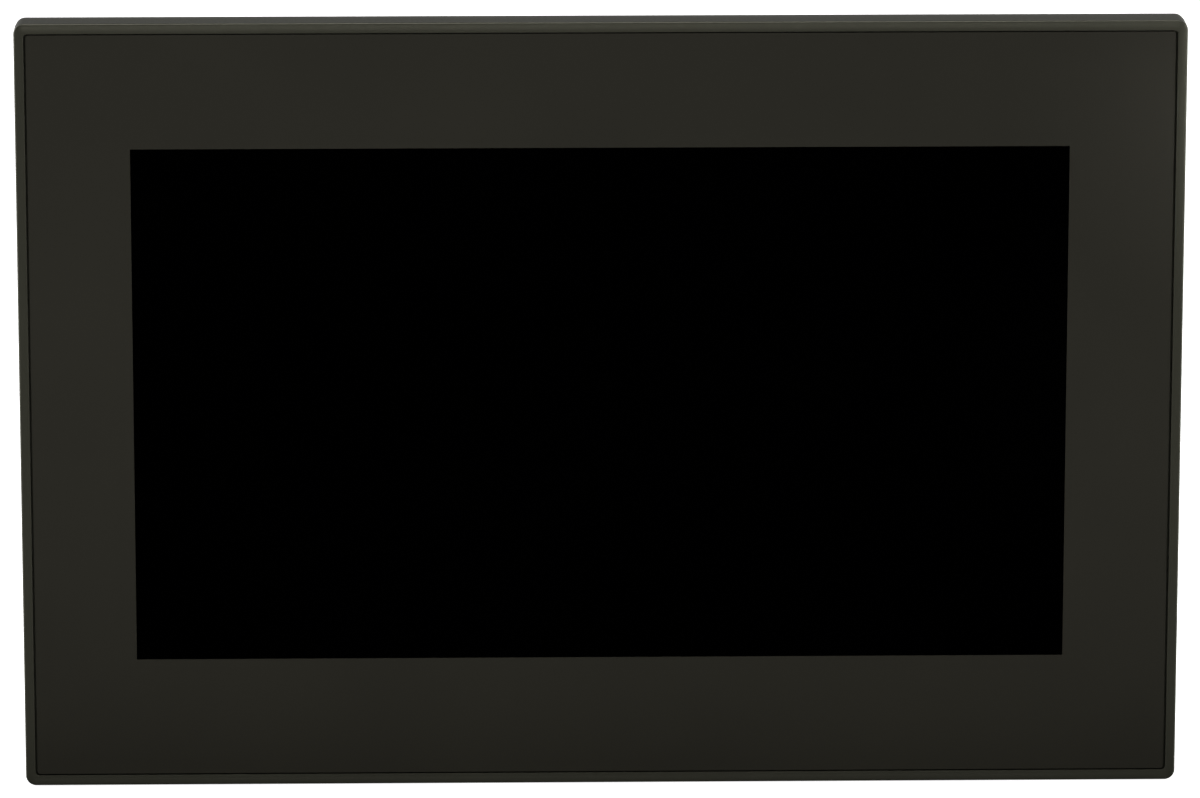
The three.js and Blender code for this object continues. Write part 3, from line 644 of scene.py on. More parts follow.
def make_gasket():
    n = 8
    rows = [(0.0, -1.95), (0.0, -0.1)]
    loops = []
    # outer side going back, round crown, inner side coming forward
    for i in range(9):
        a = PI * i / 8
        t = (1 - math.cos(a)) / 2          # 0 outer, 1 inner
        y = -0.35 + 0.85 * math.sin(a) ** 0.55 if 0 < i < 8 else -0.35
        loops.append(rr(-135.4 + 4.4 * t, 135.4 - 4.4 * t, -90.05 + 4.4 * t, 90.05 - 4.4 * t, 1.6 - 0.3 * t, y, n))
    loops.append(rr(-131.0, 131.0, -85.65, 85.65, 1.3, -1.95, n))
    loops.append(rr(-135.4, 135.4, -90.05, 90.05, 1.6, -1.95, n))
    o = loft("gasket_ring", loops, ring=True)
    return finish_piece(o, M["gasket_rubber"], replaces=["panel_gasket"], angle=50)


make_gasket()


# ================================================================== rear housing
def make_housing():
    body = slab("housing_shell", -HX, HX, -HZ, HZ, 4, -2.45, STEP_Y, 0.3, 1.2, 12, 5)
    raised = slab("raised", -RX, RX, RZ0, RZ1, 4, 12, REAR_Y, 0, 1.6, 12, 6)
    body = add(body, raised)
    # hollow the shell and the raised part from inside, the raised part's cavity rounded at its back
    body = cut(body,
               slab("c1", -HX + WALL, HX - WALL, -HZ + WALL, HZ - WALL, 2, -5, STEP_Y - WALL, 0, 0, 6),
               slab("c2", -RX + WALL, RX - WALL, RZ0 + WALL, RZ1 - WALL, 2, 10, REAR_Y - WALL, 0, 1.0, 6, 3))
    for sx in (-1, 1):
        for sz in (-1, 1):
            x, z = sx * SCREW_X, sz * SCREW_Z
            body = add(body, rod("post", "y", 4.2, -1.4, STEP_Y - 1, (x, 0, z), 36))
    # pockets' inner blocks
    for sx in (-1, 1):
        for sz in (-1, 1):
            x = sx * CLAMP_X
            za, zb = (76.5, 82.5) if sz > 0 else (-82.5, -76.5)
            body = add(body, rbox("blk", x - 11, x + 11, -1.2, STEP_Y - 1.0, za, zb, 0, 1))
    for sx in (-1, 1):
        for sz in (-1, 1):
            x, z = sx * SCREW_X, sz * SCREW_Z
            prof = [(0, -4), (1.9, -4), (1.9, STEP_Y - 2.3), (3.3, STEP_Y - 2.3), (3.3, STEP_Y - 0.35), (3.75, STEP_Y + 0.1), (3.75, STEP_Y + 2), (0, STEP_Y + 2)]
            body = cut(body, lathe("bore", prof, "y", (x, 0, z), 36))
            x = sx * CLAMP_X
            if sz > 0:
                pk = [(79.0, 85.0)]
            else:
                pk = [(-85.0, -79.0)]
            za, zb = pk[0]
            body = cut(body, rbox("pocket", x - 9.2, x + 9.2, 0.2, STEP_Y + 4, za, zb, 0.8, 3))
            za, zb = (72, 80) if sz > 0 else (-80, -72)
            body = cut(body, rbox("hook", x - 5, x + 5, 8.6, 12.6, za, zb, 0.5, 2))
    slots = []
    for i in range(17):
        slots.append(slot_cutter("s", (i - 8) * 10.0, 28.0, 1.4, 6.0, 70, 84, RZ1, 0.35, "xy"))
    for i in range(8):
        for s in (-1, 1):
            slots.append(slot_cutter("s", s * (15 + i * 10.0), 43.0, 1.4, 17.0, 32, 44, REAR_Y, 0.4, "xz"))
    body = cut(body, join(*slots))
    g = 0.35
    w0, w1 = RZ0 + WALL + 1, RZ0 - 2
    wins = []
    for x in LAN_X:
        wins.append(window_cutter("w", x - 8 - g, x + 8 + g, CONN_Y - 0.1, CONN_Y + 13.4 + g, 0.4, w0, RZ0, w1, 0.3))
    for x in USB_X:
        wins.append(window_cutter("w", x - 6.8 - g, x + 6.8 + g, CONN_Y + 0.05, CONN_Y + 6.6 + g, 0.4, w0, RZ0, w1, 0.3))
    wins.append(window_cutter("w", SERIAL_X - 15.4 - g, SERIAL_X + 15.4 + g, CONN_Y - 0.1, CONN_Y + 12.5 + g, 0.8, w0, RZ0, w1, 0.3))
    wins.append(window_cutter("w", POWER_X - 9 - g, POWER_X + 9 + g, CONN_Y - 0.1, CONN_Y + 9.6 + g, 0.4, w0, RZ0, w1, 0.3))
    wins.append(window_cutter("w", CARD_X - 13.5, CARD_X + 13.5, CONN_Y - 0.4, CONN_Y + 5.2, 0.6, w0, RZ0, w1, 0.3))
    body = cut(body, join(*wins))
    body = cut(body, lathe("b", [(0, w0), (2.25, w0), (2.25, RZ0 + 0.4), (2.7, RZ0 - 0.05), (2.7, w1), (0, w1)], "z", (RESET_X, CONN_Y + 3.6, 0), 32))
    for s in (-1, 1):
        x0 = CARD_X + s * 18.2
        pts = [(PIN_Y - 1.8, RZ0 + 0.8), (PIN_Y - 1.8, PIN_Z)]
        for i in range(1, 12):
            a = PI + PI * i / 12
            pts.append((PIN_Y + 1.8 * math.cos(a), PIN_Z + 1.8 * math.sin(a)))
        pts += [(PIN_Y + 1.8, PIN_Z), (PIN_Y + 1.8, RZ0 + 0.8)]
        body = add(body, prism("lug", pts, "x", x0 - 1.2, x0 + 1.2))
    body = cut(body, rod("pinhole", "x", 0.87, CARD_X - 19.0, CARD_X + 21, (0, PIN_Y, PIN_Z), 24))
    body = add(body, rod("boss", "y", 5, 6, STEP_Y - 1, (-112, 0, -64), 36))
    body = cut(body, lathe("earth", [(0, 8), (2.3, 8), (2.3, STEP_Y - 0.3), (2.7, STEP_Y + 0.1), (2.7, 22), (0, 22)], "y", (-112, 0, -64), 36))
    bm = bmesh.new()
    bm.from_mesh(body.data)
    bmesh.ops.remove_doubles(bm, verts=bm.verts, dist=2e-4)
    bm.to_mesh(body.data)
    bm.free()
    return finish_piece(body, M["housing"], replaces=["rear_housing"], angle=28)


make_housing()


# ================================================================== turned and pressed hardware
def cross_recess(y0, y1, size, at, axis="y"):
    """Tapered cross for a screw head, opening towards y1."""
    objs = []
    for k in range(2):
        w0, w1, l0, l1 = 0.10 * size, 0.16 * size, 0.25 * size, 0.5 * size
        loops = []
        for y, w, l in ((y0, w0, l0), (y1, w1, l1), (y1 + 1, w1, l1)):
            if k == 0:
                loops.append([(-l, y, -w), (l, y, -w), (l, y, w), (-l, y, w)])
            else:
                loops.append([(-w, y, -l), (w, y, -l), (w, y, l), (-w, y, l)])
        objs.append(move(loft("x", loops), *at))
    return objs


def pan_screw(name, x, z, y_under, r_head, h_head, r_shank, y_tip, mat, replaces, body="enclosure"):
    y1 = y_under + h_head
    prof = [(0, y_tip), (r_shank * 0.8, y_tip), (r_shank, y_tip + 0.5), (r_shank, y_under), (r_head - 0.1, y_under), (r_head, y_under + 0.12)]
    for i in range(1, 8):
        a = PI / 2 * i / 7
        prof.append((r_head * math.cos(a * 0.62) if i < 7 else r_head * 0.55, y_under + 0.12 + (h_head - 0.12) * math.sin(a)))
    prof.append((0, y1))
    o = lathe(name, prof, "y", (x, 0, z), 40)
    for c in cross_recess(y1 - 1.0, y1, r_head * 1.25, (x, 0, z)):
        o = cut(o, c)
    return finish_piece(o, mat, body, replaces, angle=35)


k = 1
for sx in (-1, 1):
    for sz in (-1, 1):
        pan_screw(f"rear_screw_{k}", sx * SCREW_X, sz * SCREW_Z, 15.75, 2.85, 1.95, 1.5, -6.3, M["zinc"], [f"housing_screw_{k}"])
        k += 1

# earth screw, and the tab under its head with a push-on blade turned up
pan_screw("earth_terminal", -112, -64, 18.9, 3.8, 2.55, 1.95, 9.0, M["zinc"], ["earth_screw"])


def make_earth_tab():
    y0, y1 = STEP_Y + 0.03, STEP_Y + 0.83
    t = rod("earth_tab_plate", "y", 4.8, y0, y1, (0, 0, 0), 56)
    # strip with its bend: profile in (y, z), pushed along x
    pts = [(y0, -3.4), (y0, -5.2)]
    for k in range(1, 8):
        a = PI / 2 * k / 7
        pts.append((y0 + 1.4 * (1 - math.cos(a)), -5.2 - 1.4 * math.sin(a)))
    pts += [(y0 + 9.2, -6.6), (y0 + 9.2, -5.8), (y0 + 1.4, -5.8)]
    for k in range(1, 7):
        a = PI / 2 * k / 7
        pts.append((y0 + 1.4 - 0.6 * math.sin(a), -5.2 - 0.6 * math.cos(a)))
    pts += [(y1, -5.2), (y1, -3.4)]
    b = prism("blade", pts, "x", -3.15, 3.15)
    for s in (-1, 1):
        b = cut(b, prism("c", [(s * 3.3, y0 + 8.1), (s * 3.3, y0 + 9.5), (s * 2.1, y0 + 9.5)], "z", -8, -4))
    t = add(t, b)
    t = cut(t, rod("h", "y", 2.4, y0 - 1, y1 + 1, (0, 0, 0), 40), rod("h", "z", 0.9, -8, -5, (0, y0 + 5.6, 0), 24))
    bevel_edges(t, 0.1, 2, 40)
    move(t, x=-112, z=-64)
    finish_piece(t, M["zinc"], replaces=["earth_tab"])


make_earth_tab()

# blank rating plate
finish_piece(slab("rating_plate_face", 55 - 36, 55 + 36, -26, 10, 1.5, REAR_Y + 0.02, REAR_Y + 0.32, 0, 0.08, 8, 2), M["label"], replaces=["rating_plate"])


def thread_shaft(r_out, pitch, y0, y1, n=28, per=8):
    """Shaft with a real helical thread, as a closed ring stack."""
    depth = 0.54 * pitch * 0.85
    rows = int((y1 - y0) / pitch * per)
    verts, faces = [], []
    for j in range(rows + 1):
        y = y0 + (y1 - y0) * j / rows
        edge = min(1.0, (y - y0) / 0.5, (y1 - y) / 0.35 + 0.25)
        for i in range(n):
            ph = (y / pitch - i / n) % 1.0
            tri = abs(ph - 0.5) * 2                      # 1 crest at 0, 0 at root
            crest = min(1.0, max(0.0, (tri - 0.12) / 0.76))
            r = r_out - depth * (1 - crest)
            r = r * (0.72 + 0.28 * max(0.0, edge)) if y - y0 < 0.5 else r
            a = 2 * PI * i / n
            verts.append((r * math.cos(a), y, r * math.sin(a)))
    for j in range(rows):
        for i in range(n):
            i2 = (i + 1) % n
            faces.append((j * n + i, j * n + i2, (j + 1) * n + i2, (j + 1) * n + i))
    faces.append(tuple(range(n)))
    faces.append(tuple(range(rows * n, rows * n + n)))
    return mesh_object("thread", verts, faces)


def make_clamp(i, sx, sz):
    x = sx * CLAMP_X

    def place(o):
        if sz < 0:
            half_turn(o)
            move(o, x=x)
        else:
            move(o, x=x)
        return o
    # bracket: folded 1.6 mm sheet with a bend radius, a pulled collar for the thread, and the hook
    t = 1.6
    pts = [(4.5, 79.3), (4.5, 80.9), (19.4, 80.9)]
    for k in range(1, 7):                        # inside of the bend
        a = -PI / 2 + PI / 2 * k / 7
        pts.append((19.4 + 1.0 * math.cos(a), 81.9 + 1.0 * math.sin(a)))
    pts += [(20.4, 81.9), (20.4, 87.4), (22.0, 87.4), (22.0, 81.9)]
    for k in range(1, 7):                        # outside of the bend
        a = -PI / 2 * k / 7
        pts.append((19.4 + 2.6 * math.cos(a), 81.9 + 2.6 * math.sin(a)))
    pts.append((19.4, 79.3))
    b = prism("clamp_plate", pts, "x", -7, 7)
    b = add(b, rod("collar", "y", 3.25, 18.9, 21.0, (0, 0, CLAMP_AX), 40))
    b = add(b, rbox("tongue", -4.2, 4.2, 9.4, 11.0, 75.0, 79.8, 0.3, 2))
    b = cut(b, lathe("bore", [(0, 15), (2.5, 15), (2.5, 18.95), (2.12, 19.3), (2.12, 21.7), (2.5, 22.05), (2.5, 24), (0, 24)], "y", (0, 0, CLAMP_AX), 40))
    # clipped corners of the tab
    for s in (-1, 1):
        b = cut(b, prism("clip", [(s * 7.5, 84.6), (s * 7.5, 88), (s * 3.9, 88)], "y", 19, 24))
    bevel_edges(b, 0.18, 2, 40)
    place(b)
    b.name = f"clamp_plate_{i}"
    finish_piece(b, M["steel"], replaces=[f"clamp_bracket_{i}"])
    # screw
    s = thread_shaft(1.99, 0.7, 7.85, 27.6)
    s = add(s, rod("neck", "y", 1.72, 27.0, 29.0, (0, 0, 0), 28))
    head = lathe("head", [(0, 28.5), (3.0, 28.5), (3.2, 28.7), (3.2, 30.7), (3.12, 31.05), (2.9, 31.32), (2.55, 31.5), (0, 31.5)], "y", (0, 0, 0), 48)
    head = cut(head, rbox("slot", -0.5, 0.5, 30.0, 34, -5, 5, 0, 1))
    bevel_edges(head, 0.08, 2, 40)
    s = add(s, head)
    move(s, z=CLAMP_AX)
    place(s)
    s.name = f"clamp_thread_{i}"
    finish_piece(s, M["zinc"], f"screw_{i}", [f"clamp_screw_{i}"], angle=38)
    # pressure foot with a ribbed face
    f = rbox("foot", -6.2, 6.2, 6.0, 9.2, 81.3, 90.6, 0.7, 4)
    f = cut(f, lathe("seat", [(0, 7.5), (2.3, 7.5), (2.4, 7.6), (2.4, 8.95), (2.75, 9.25), (2.75, 12), (0, 12)], "y", (0, 0, CLAMP_AX), 40))
    grooves = []
    for kx in range(5):
        xx = -4.4 + kx * 2.2
        grooves.append(prism("g", [(xx - 0.45, 5.5), (xx + 0.45, 5.5), (xx + 0.45, 6.05), (xx + 0.12, 6.38), (xx - 0.12, 6.38), (xx - 0.45, 6.05)], "z", 82.4, 92.0))
    f = cut(f, join(*grooves))
    place(f)
    f.name = f"clamp_shoe_{i}"
    finish_piece(f, M["clamp_shoe"], f"foot_{i}", [f"clamp_foot_{i}"])


for i, (sx, sz) in enumerate(((-1, 1), (1, 1), (-1, -1), (1, -1)), 1):
    make_clamp(i, sx, sz)


# ================================================================== sockets on the connector face
def make_lan(i, x):
    y0, y1 = CONN_Y, CONN_Y + 13.4
    z0, z1 = FACE_Z, -29.0
    shell = rbox(f"lan_shell_{i}", x - 8, x + 8, y0, y1, z0, z1, 0.35, 3)
    shell = cut(shell, rbox("c", x - 7.6, x + 7.6, y0 + 0.4, y1 - 0.4, z0 - 2, z0 + 14.0, 0.3, 2))
    # grounding springs pressed out of the shell's mouth
    springs = []
    for s in (-1, 1):
        springs.append(prism("sp", [(x + s * 7.62, y0 + 7.2), (x + s * 7.62, y0 + 11.6), (x + s * 6.7, y0 + 10.8), (x + s * 6.7, y0 + 8.0)], "z", z0 + 0.25, z0 + 0.75))
    finish_piece(shell, M["jack_metal"], replaces=[f"ethernet_jack_{i}"])
    for k, sp in enumerate(springs):
        sp.name = f"lan_spring_{i}_{k + 1}"
        finish_piece(sp, M["jack_metal"])
    ins = rbox(f"lan_insert_{i}", x - 7.5, x + 7.5, y0 + 0.5, y1 - 0.5, z0 + 0.35, z0 + 13.9, 0.2, 2)
    ins = cut(ins, window_cutter("w", x - 5.9, x + 5.9, y0 + 2.6, y0 + 9.6, 0.15, z0 + 12.5, z0 + 0.35, z0 - 2, 0.3),
              rbox("n1", x - 3.1, x + 3.1, y0 + 9.2, y0 + 11.6, z0 - 2, z0 + 11, 0.1, 1),
              rbox("n2", x - 1.6, x + 1.6, y0 + 11.2, y0 + 12.4, z0 - 2, z0 + 11, 0.1, 1))
    finish_piece(ins, INSERT_BLACK)
    for k in range(8):                          # sprung contacts rise from the floor of the socket
        cx = x - 3.57 + k * 1.02
        pts = [(y0 + 2.62, z0 + 1.6), (y0 + 2.95, z0 + 1.45), (y0 + 4.9, z0 + 9.2), (y0 + 4.7, z0 + 9.9), (y0 + 2.62, z0 + 10.6)]
        inner = [(y0 + 2.62, z0 + 10.3), (y0 + 4.35, z0 + 9.55), (y0 + 4.5, z0 + 9.1), (y0 + 2.75, z0 + 1.95), (y0 + 2.62, z0 + 2.0)]
        c = prism(f"lan_contact_{i}_{k + 1}", pts + inner, "x", cx - 0.2, cx + 0.2)
        finish_piece(c, GOLD)
    for s, lens in ((-1, LENS_GREEN), (1, LENS_AMBER)):
        w = rbox(f"lan_lamp_{i}_{'a' if s < 0 else 'b'}", x + s * 5.6 - 1.4, x + s * 5.6 + 1.4, y0 + 10.5, y0 + 12.3, z0 + 0.2, z0 + 4, 0.15, 2)
        finish_piece(w, lens)


for i, x in enumerate(LAN_X, 1):
    make_lan(i, x)


def make_usb(i, x):
    y0, y1 = CONN_Y + 0.4, CONN_Y + 6.6
    z0 = FACE_Z
    shell = rbox(f"usb_shell_{i}", x - 6.8, x + 6.8, y0, y1, z0, -36.5, 0.45, 3)
    shell = cut(shell, window_cutter("w", x - 6.35, x + 6.35, y0 + 0.45, y1 - 0.45, 0.25, z0 + 11.5, z0, z0 - 2, 0.22))
    finish_piece(shell, M["jack_metal"], replaces=[f"usb_port_{i}"])
    tongue = rbox(f"usb_tongue_{i}", x - 5.5, x + 5.5, CONN_Y + 3.7, CONN_Y + 5.4, z0 + 1.3, z0 + 11.6, 0.2, 2)
    finish_piece(tongue, INSERT_WHITE)
    back = rbox(f"usb_back_{i}", x - 6.3, x + 6.3, y0 + 0.5, y1 - 0.5, z0 + 10.8, z0 + 11.4, 0.05, 1)
    finish_piece(back, INSERT_WHITE)
    for k, cx in enumerate((-3.5, -1.0, 1.0, 3.5)):
        c = rbox(f"usb_contact_{i}_{k + 1}", x + cx - 0.5, x + cx + 0.5, CONN_Y + 3.55, CONN_Y + 3.75, z0 + 2.2, z0 + 10.5, 0.06, 1)
        finish_piece(c, GOLD)
    for k, (cx, s) in enumerate(((-3.2, 1), (3.2, 1), (-3.2, -1), (3.2, -1))):      # holding springs
        yw = y1 - 0.45 if s > 0 else y0 + 0.45
        pts = [(yw, z0 + 1.0), (yw - s * 0.22, z0 + 1.0), (yw - s * 0.62, z0 + 4.6), (yw - s * 0.1, z0 + 7.0), (yw, z0 + 7.0)]
        if s > 0:
            pts = [(yw, z0 + 0.9), (yw - 0.12, z0 + 0.9), (yw - 0.18, z0 + 4.6), (yw, z0 + 7.0)]
        c = prism(f"usb_spring_{i}_{k + 1}", pts, "x", x + cx - 0.9, x + cx + 0.9)
        finish_piece(c, M["jack_metal"])


for i, x in enumerate(USB_X, 1):
    make_usb(i, x)


def d_outline(grow, n=5):
    """Outline of the D shell with round corners, as (x, y) points about its centre, wider side towards +y."""
    pts = [(-7.35, -4.1), (7.35, -4.1), (9.25, 4.1), (-9.25, 4.1)]
    r = 2.3 + grow
    out = []
    m = len(pts)
    for k in range(m):
        p0, p1, p2 = Vector(pts[k - 1]), Vector(pts[k]), Vector(pts[(k + 1) % m])
        u, v = (p0 - p1).normalized(), (p2 - p1).normalized()
        half = u.angle(v) / 2
        centre = p1 + (u + v).normalized() * (2.3 / math.sin(half))
        a0 = math.atan2((-v.y - u.y) * 0 + 0, 1)
        t0, t1 = p1 + u * (2.3 / math.tan(half)), p1 + v * (2.3 / math.tan(half))
        b0, b1 = math.atan2(t0.y - centre.y, t0.x - centre.x), math.atan2(t1.y - centre.y, t1.x - centre.x)
        while b1 < b0:
            b1 += 2 * PI
        for j in range(n + 1):
            a = b0 + (b1 - b0) * j / n
            out.append((centre.x + r * math.cos(a), centre.y + r * math.sin(a)))
    return out


def make_serial():
    x, yc, z0 = SERIAL_X, CONN_Y + 6.25, FACE_Z

    def ring(grow, z):
        return [(x + p[0], yc + p[1], z) for p in d_outline(grow)]
    plate = slab("t", x - 15.4, x + 15.4, -6.2, 6.2, 1.4, 0, 1.2, 0.25, 0.1, 6, 3)
    # the slab stands in x-z at depth y: turn it into the x-y plane
    plate.data.transform(Matrix(((1, 0, 0, 0), (0, 0, 1, yc), (0, 1, 0, z0), (0, 0, 0, 1))))
    fix_normals(plate)
    plate.name = "serial_flange"
    for dx in (-12.5, 12.5):
        plate = cut(plate, rod("h", "z", 1.7, z0 - 3, z0 + 4, (x + dx, yc, 0), 24))
    # shell: outside up, over the lip, inside down to the floor
    loops = [ring(0.35, z0 + 0.05), ring(0.05, z0 - 0.35), ring(0.0, z0 - 0.8), ring(0.0, z0 - 5.45), ring(-0.06, z0 - 5.7), ring(-0.2, z0 - 5.8),
             ring(-0.34, z0 - 5.7), ring(-0.42, z0 - 5.45), ring(-0.42, z0 - 0.1)]
    sh = loft("shell", loops, ring=False)
    plate = add(plate, sh)
    finish_piece(plate, M["jack_metal"], replaces=["serial_port"], angle=40)
    body = loft("serial_insert", [ring(-0.5, z0 - 0.05), ring(-0.5, z0 - 5.25), ring(-0.6, z0 - 5.4)])
    holes = []
    for k in range(5):
        holes.append(lathe("h", [(0, z0 - 2), (0.55, z0 - 2), (0.55, z0 - 5.1), (0.85, z0 - 5.5), (0.85, z0 - 7), (0, z0 - 7)], "z", (x - 5.54 + k * 2.77, yc + 1.42, 0), 16))
    for k in range(4):
        holes.append(lathe("h", [(0, z0 - 2), (0.55, z0 - 2), (0.55, z0 - 5.1), (0.85, z0 - 5.5), (0.85, z0 - 7), (0, z0 - 7)], "z", (x - 4.155 + k * 2.77, yc - 1.42, 0), 16))
    body = cut(body, join(*holes))
    finish_piece(body, INSERT_BLACK)
    for k, dx in enumerate((-12.5, 12.5), 1):
        s = lathe(f"jackscrew_{k}", [(0, z0 - 5.25), (1.9, z0 - 5.25), (2.35, z0 - 5.05), (2.75, z0 - 4.75), (2.75, z0 - 0.35), (2.45, z0 - 0.05), (1.35, z0 - 0.05), (1.35, z0 + 5.5), (0, z0 + 5.5)], "z", (0, 0, 0), 48)
        hexa = [(2.75 * math.cos(PI / 3 * q), 2.75 * math.sin(PI / 3 * q)) for q in range(6)]
        boolean(s, prism("hx", hexa, "z", z0 - 6, z0 + 8), "INTERSECT")
        s = cut(s, lathe("t", [(0, z0 - 1.2), (1.25, z0 - 1.2), (1.25, z0 - 4.9), (1.55, z0 - 5.3), (1.55, z0 - 7), (0, z0 - 7)], "z", (0, 0, 0), 32))
        move(s, x=x + dx, y=CONN_Y + 6.3)
        finish_piece(s, M["zinc"], replaces=[f"serial_jackscrew_{k}"])


make_serial()


def make_power():
    x, z0 = POWER_X, FACE_Z
    h = rbox("power_header_shell", x - 9, x + 9, CONN_Y, CONN_Y + 9.6, z0, -38.5, 0.4, 3)
    h = cut(h, window_cutter("w", x - 8.0, x + 8.0, CONN_Y + 1.4, CONN_Y + 8.2, 0.3, -41.5, z0, z0 - 2, 0.3))
    finish_piece(h, M["terminal"], replaces=["power_header"])
    for k, dx in enumerate((-5.08, 0, 5.08), 1):
        p = rbox(f"power_pin_{k}", x + dx - 0.5, x + dx + 0.5, CONN_Y + 4.3, CONN_Y + 5.3, -42.9, -41.0, 0.12, 1)
        finish_piece(p, M["zinc"])
    # the plug: stepped body, wire funnels, wells over the clamp screws, ribs between the ways, coding keys
    p = rbox("power_plug_body", x - 7.8, x + 7.8, CONN_Y + 0.6, CONN_Y + 11.4, -62.5, -50.8, 0.5, 3)
    p = add(p, rbox("nose", x - 7.6, x + 7.6, CONN_Y + 1.8, CONN_Y + 7.8, -52.2, -43.0, 0.35, 2))
    p = cut(p, prism("slope", [(CONN_Y + 8.6, -50.2), (CONN_Y + 12.5, -50.2), (CONN_Y + 12.5, -53.4)], "x", x - 9, x + 9))
    for dx in (-2.54, 2.54):
        p = cut(p, prism("v", [(x + dx - 0.45, CONN_Y + 11.6), (x + dx, CONN_Y + 10.9), (x + dx + 0.45, CONN_Y + 11.6)], "z", -66, -49))
        p = cut(p, rbox("gap", x + dx - 0.3, x + dx + 0.3, CONN_Y + 1.2, CONN_Y + 9, -47.8, -42, 0, 1))
    for dx in (-5.08, 0, 5.08):
        p = cut(p, window_cutter("f", x + dx - 1.6, x + dx + 1.6, CONN_Y + 2.2, CONN_Y + 5.6, 0.3, -55.0, -62.5, -64, 0.35),
                lathe("well", [(0, CONN_Y + 8.4), (2.05, CONN_Y + 8.4), (2.05, CONN_Y + 11.05), (2.35, CONN_Y + 11.45), (2.35, CONN_Y + 14), (0, CONN_Y + 14)], "y", (x + dx, 0, -57.2), 32))
    finish_piece(p, M["terminal"], "plug", ["power_plug"])
    for k, dx in enumerate((-5.08, 0, 5.08), 1):
        s = lathe(f"wire_screw_{k}", [(0, CONN_Y + 8.6), (1.75, CONN_Y + 8.6), (1.85, CONN_Y + 8.7), (1.85, CONN_Y + 10.7), (1.7, CONN_Y + 10.9), (1.4, CONN_Y + 11.0), (0, CONN_Y + 11.0)], "y", (0, 0, 0), 32)
        s = cut(s, rbox("slot", -0.33, 0.33, CONN_Y + 10.2, CONN_Y + 13, -4, 4, 0, 1))
        move(s, x=x + dx, z=-57.2)
        finish_piece(s, M["zinc"], f"wire_screw_{k}", [f"plug_screw_{k}"])
        c = rbox(f"wire_cage_{k}", x + dx - 1.5, x + dx + 1.5, CONN_Y + 2.3, CONN_Y + 5.5, -57.2, -55.1, 0.15, 1)
        c = cut(c, rbox("in", x + dx - 1.1, x + dx + 1.1, CONN_Y + 2.7, CONN_Y + 5.1, -59, -55.6, 0.1, 1))
        finish_piece(c, BRASS, "plug")


make_power()


def make_card():
    z0, z1 = -46.9, -14.9
    pts = [(-12, z0), (12, z0), (12, z1 + 3.7), (8.2, z1), (-12, z1)]
    c = prism("memory_card_shell", pts, "y", CONN_Y + 0.65, CONN_Y + 2.75)
    bevel_edges(c, 0.25, 3, 25)
    grips = [rbox("g", -8, 8, CONN_Y + 2.55, CONN_Y + 4, z0 + 1.0 + k * 0.9, z0 + 1.4 + k * 0.9, 0, 1) for k in range(4)]
    c = cut(c, join(*grips))
    move(c, x=CARD_X)
    finish_piece(c, M["card"], "card", ["memory_card"])


make_card()


def make_door():
    d = rbox("card_flap", -16.6, 16.6, 19.0 - PIN_Y, 0, 0.0, 1.5, 0.3, 3)
    lip = rbox("lip", -5, 5, 19.0 - PIN_Y - 0.4, 19.0 - PIN_Y + 0.8, -0.9, 1.1, 0.35, 3)
    d = add(d, lip, rod("knuckle", "x", 1.5, -16.6, 16.6, (0, 0, 0), 36))
    for s in (-1, 0, 1):                     # relief gaps in the knuckle
        d = cut(d, rbox("gap", s * 8.4 - 0.9, s * 8.4 + 0.9, -0.9, 3, -3, -0.15, 0, 1))
    d = cut(d, rod("bore", "x", 0.86, -18, 18, (0, 0, 0), 24))
    grips = [rbox("g", -5.5, 5.5, -8.2 + k * 0.9, -7.8 + k * 0.9, -1, 0.22, 0, 1) for k in range(4)]
    d = cut(d, join(*grips))
    move(d, CARD_X, PIN_Y, PIN_Z)
    finish_piece(d, M["housing"], "card_flap", ["card_door"])
    finish_piece(lathe("flap_pin", [(0, -18.8), (0.55, -18.8), (0.75, -18.6), (0.75, 19.0), (0.55, 19.2), (0, 19.2)], "x", (CARD_X, PIN_Y, PIN_Z), 24),
                 M["zinc"], replaces=["card_door_pin"])


make_door()

finish_piece(lathe("reset_cap", [(0, -50.55), (0.7, -50.6), (1.25, -50.85), (1.5, -50.9), (1.72, -50.82), (1.8, -50.6), (1.8, -47.1), (2.8, -47.1), (2.9, -47.0), (2.9, -46.2), (2.8, -46.1), (1.6, -46.1), (1.6, -44.6), (0, -44.6)],
                   "z", (RESET_X, CONN_Y + 3.6, 0), 40), M["button"], "reset_key", ["reset_button"])


# ================================================================== pieces inside, seen through the air slots and sockets
for node, slot, bev in (
        ("glass_adhesive", "tape", 0), ("lcd_chassis", "steel", 0.1), ("lcd_cell", "lcd_glass", 0.1), ("backlight_guide", "acrylic", 0.1),
        ("shield_plate", "steel", 0), ("lcd_ribbon", "ribbon", 0), ("touch_ribbon", "ribbon", 0), ("main_board", "board", 0),
        ("cpu_chip", "chip", 0.2), ("heat_sink", "sink", 0.12), ("power_inductor", "chip", 0.3), ("bulk_capacitor", "can", 0),
        ("cell_holder", "chip", 0.15), ("coin_cell", "can", 0), ("card_socket", "jack_metal", 0.12), ("reset_switch", "chip", 0.2),
        ("board_screw_1", "zinc", 0), ("board_screw_2", "zinc", 0), ("board_screw_3", "zinc", 0), ("board_screw_4", "zinc", 0)):
    dress(node, slot, bev)


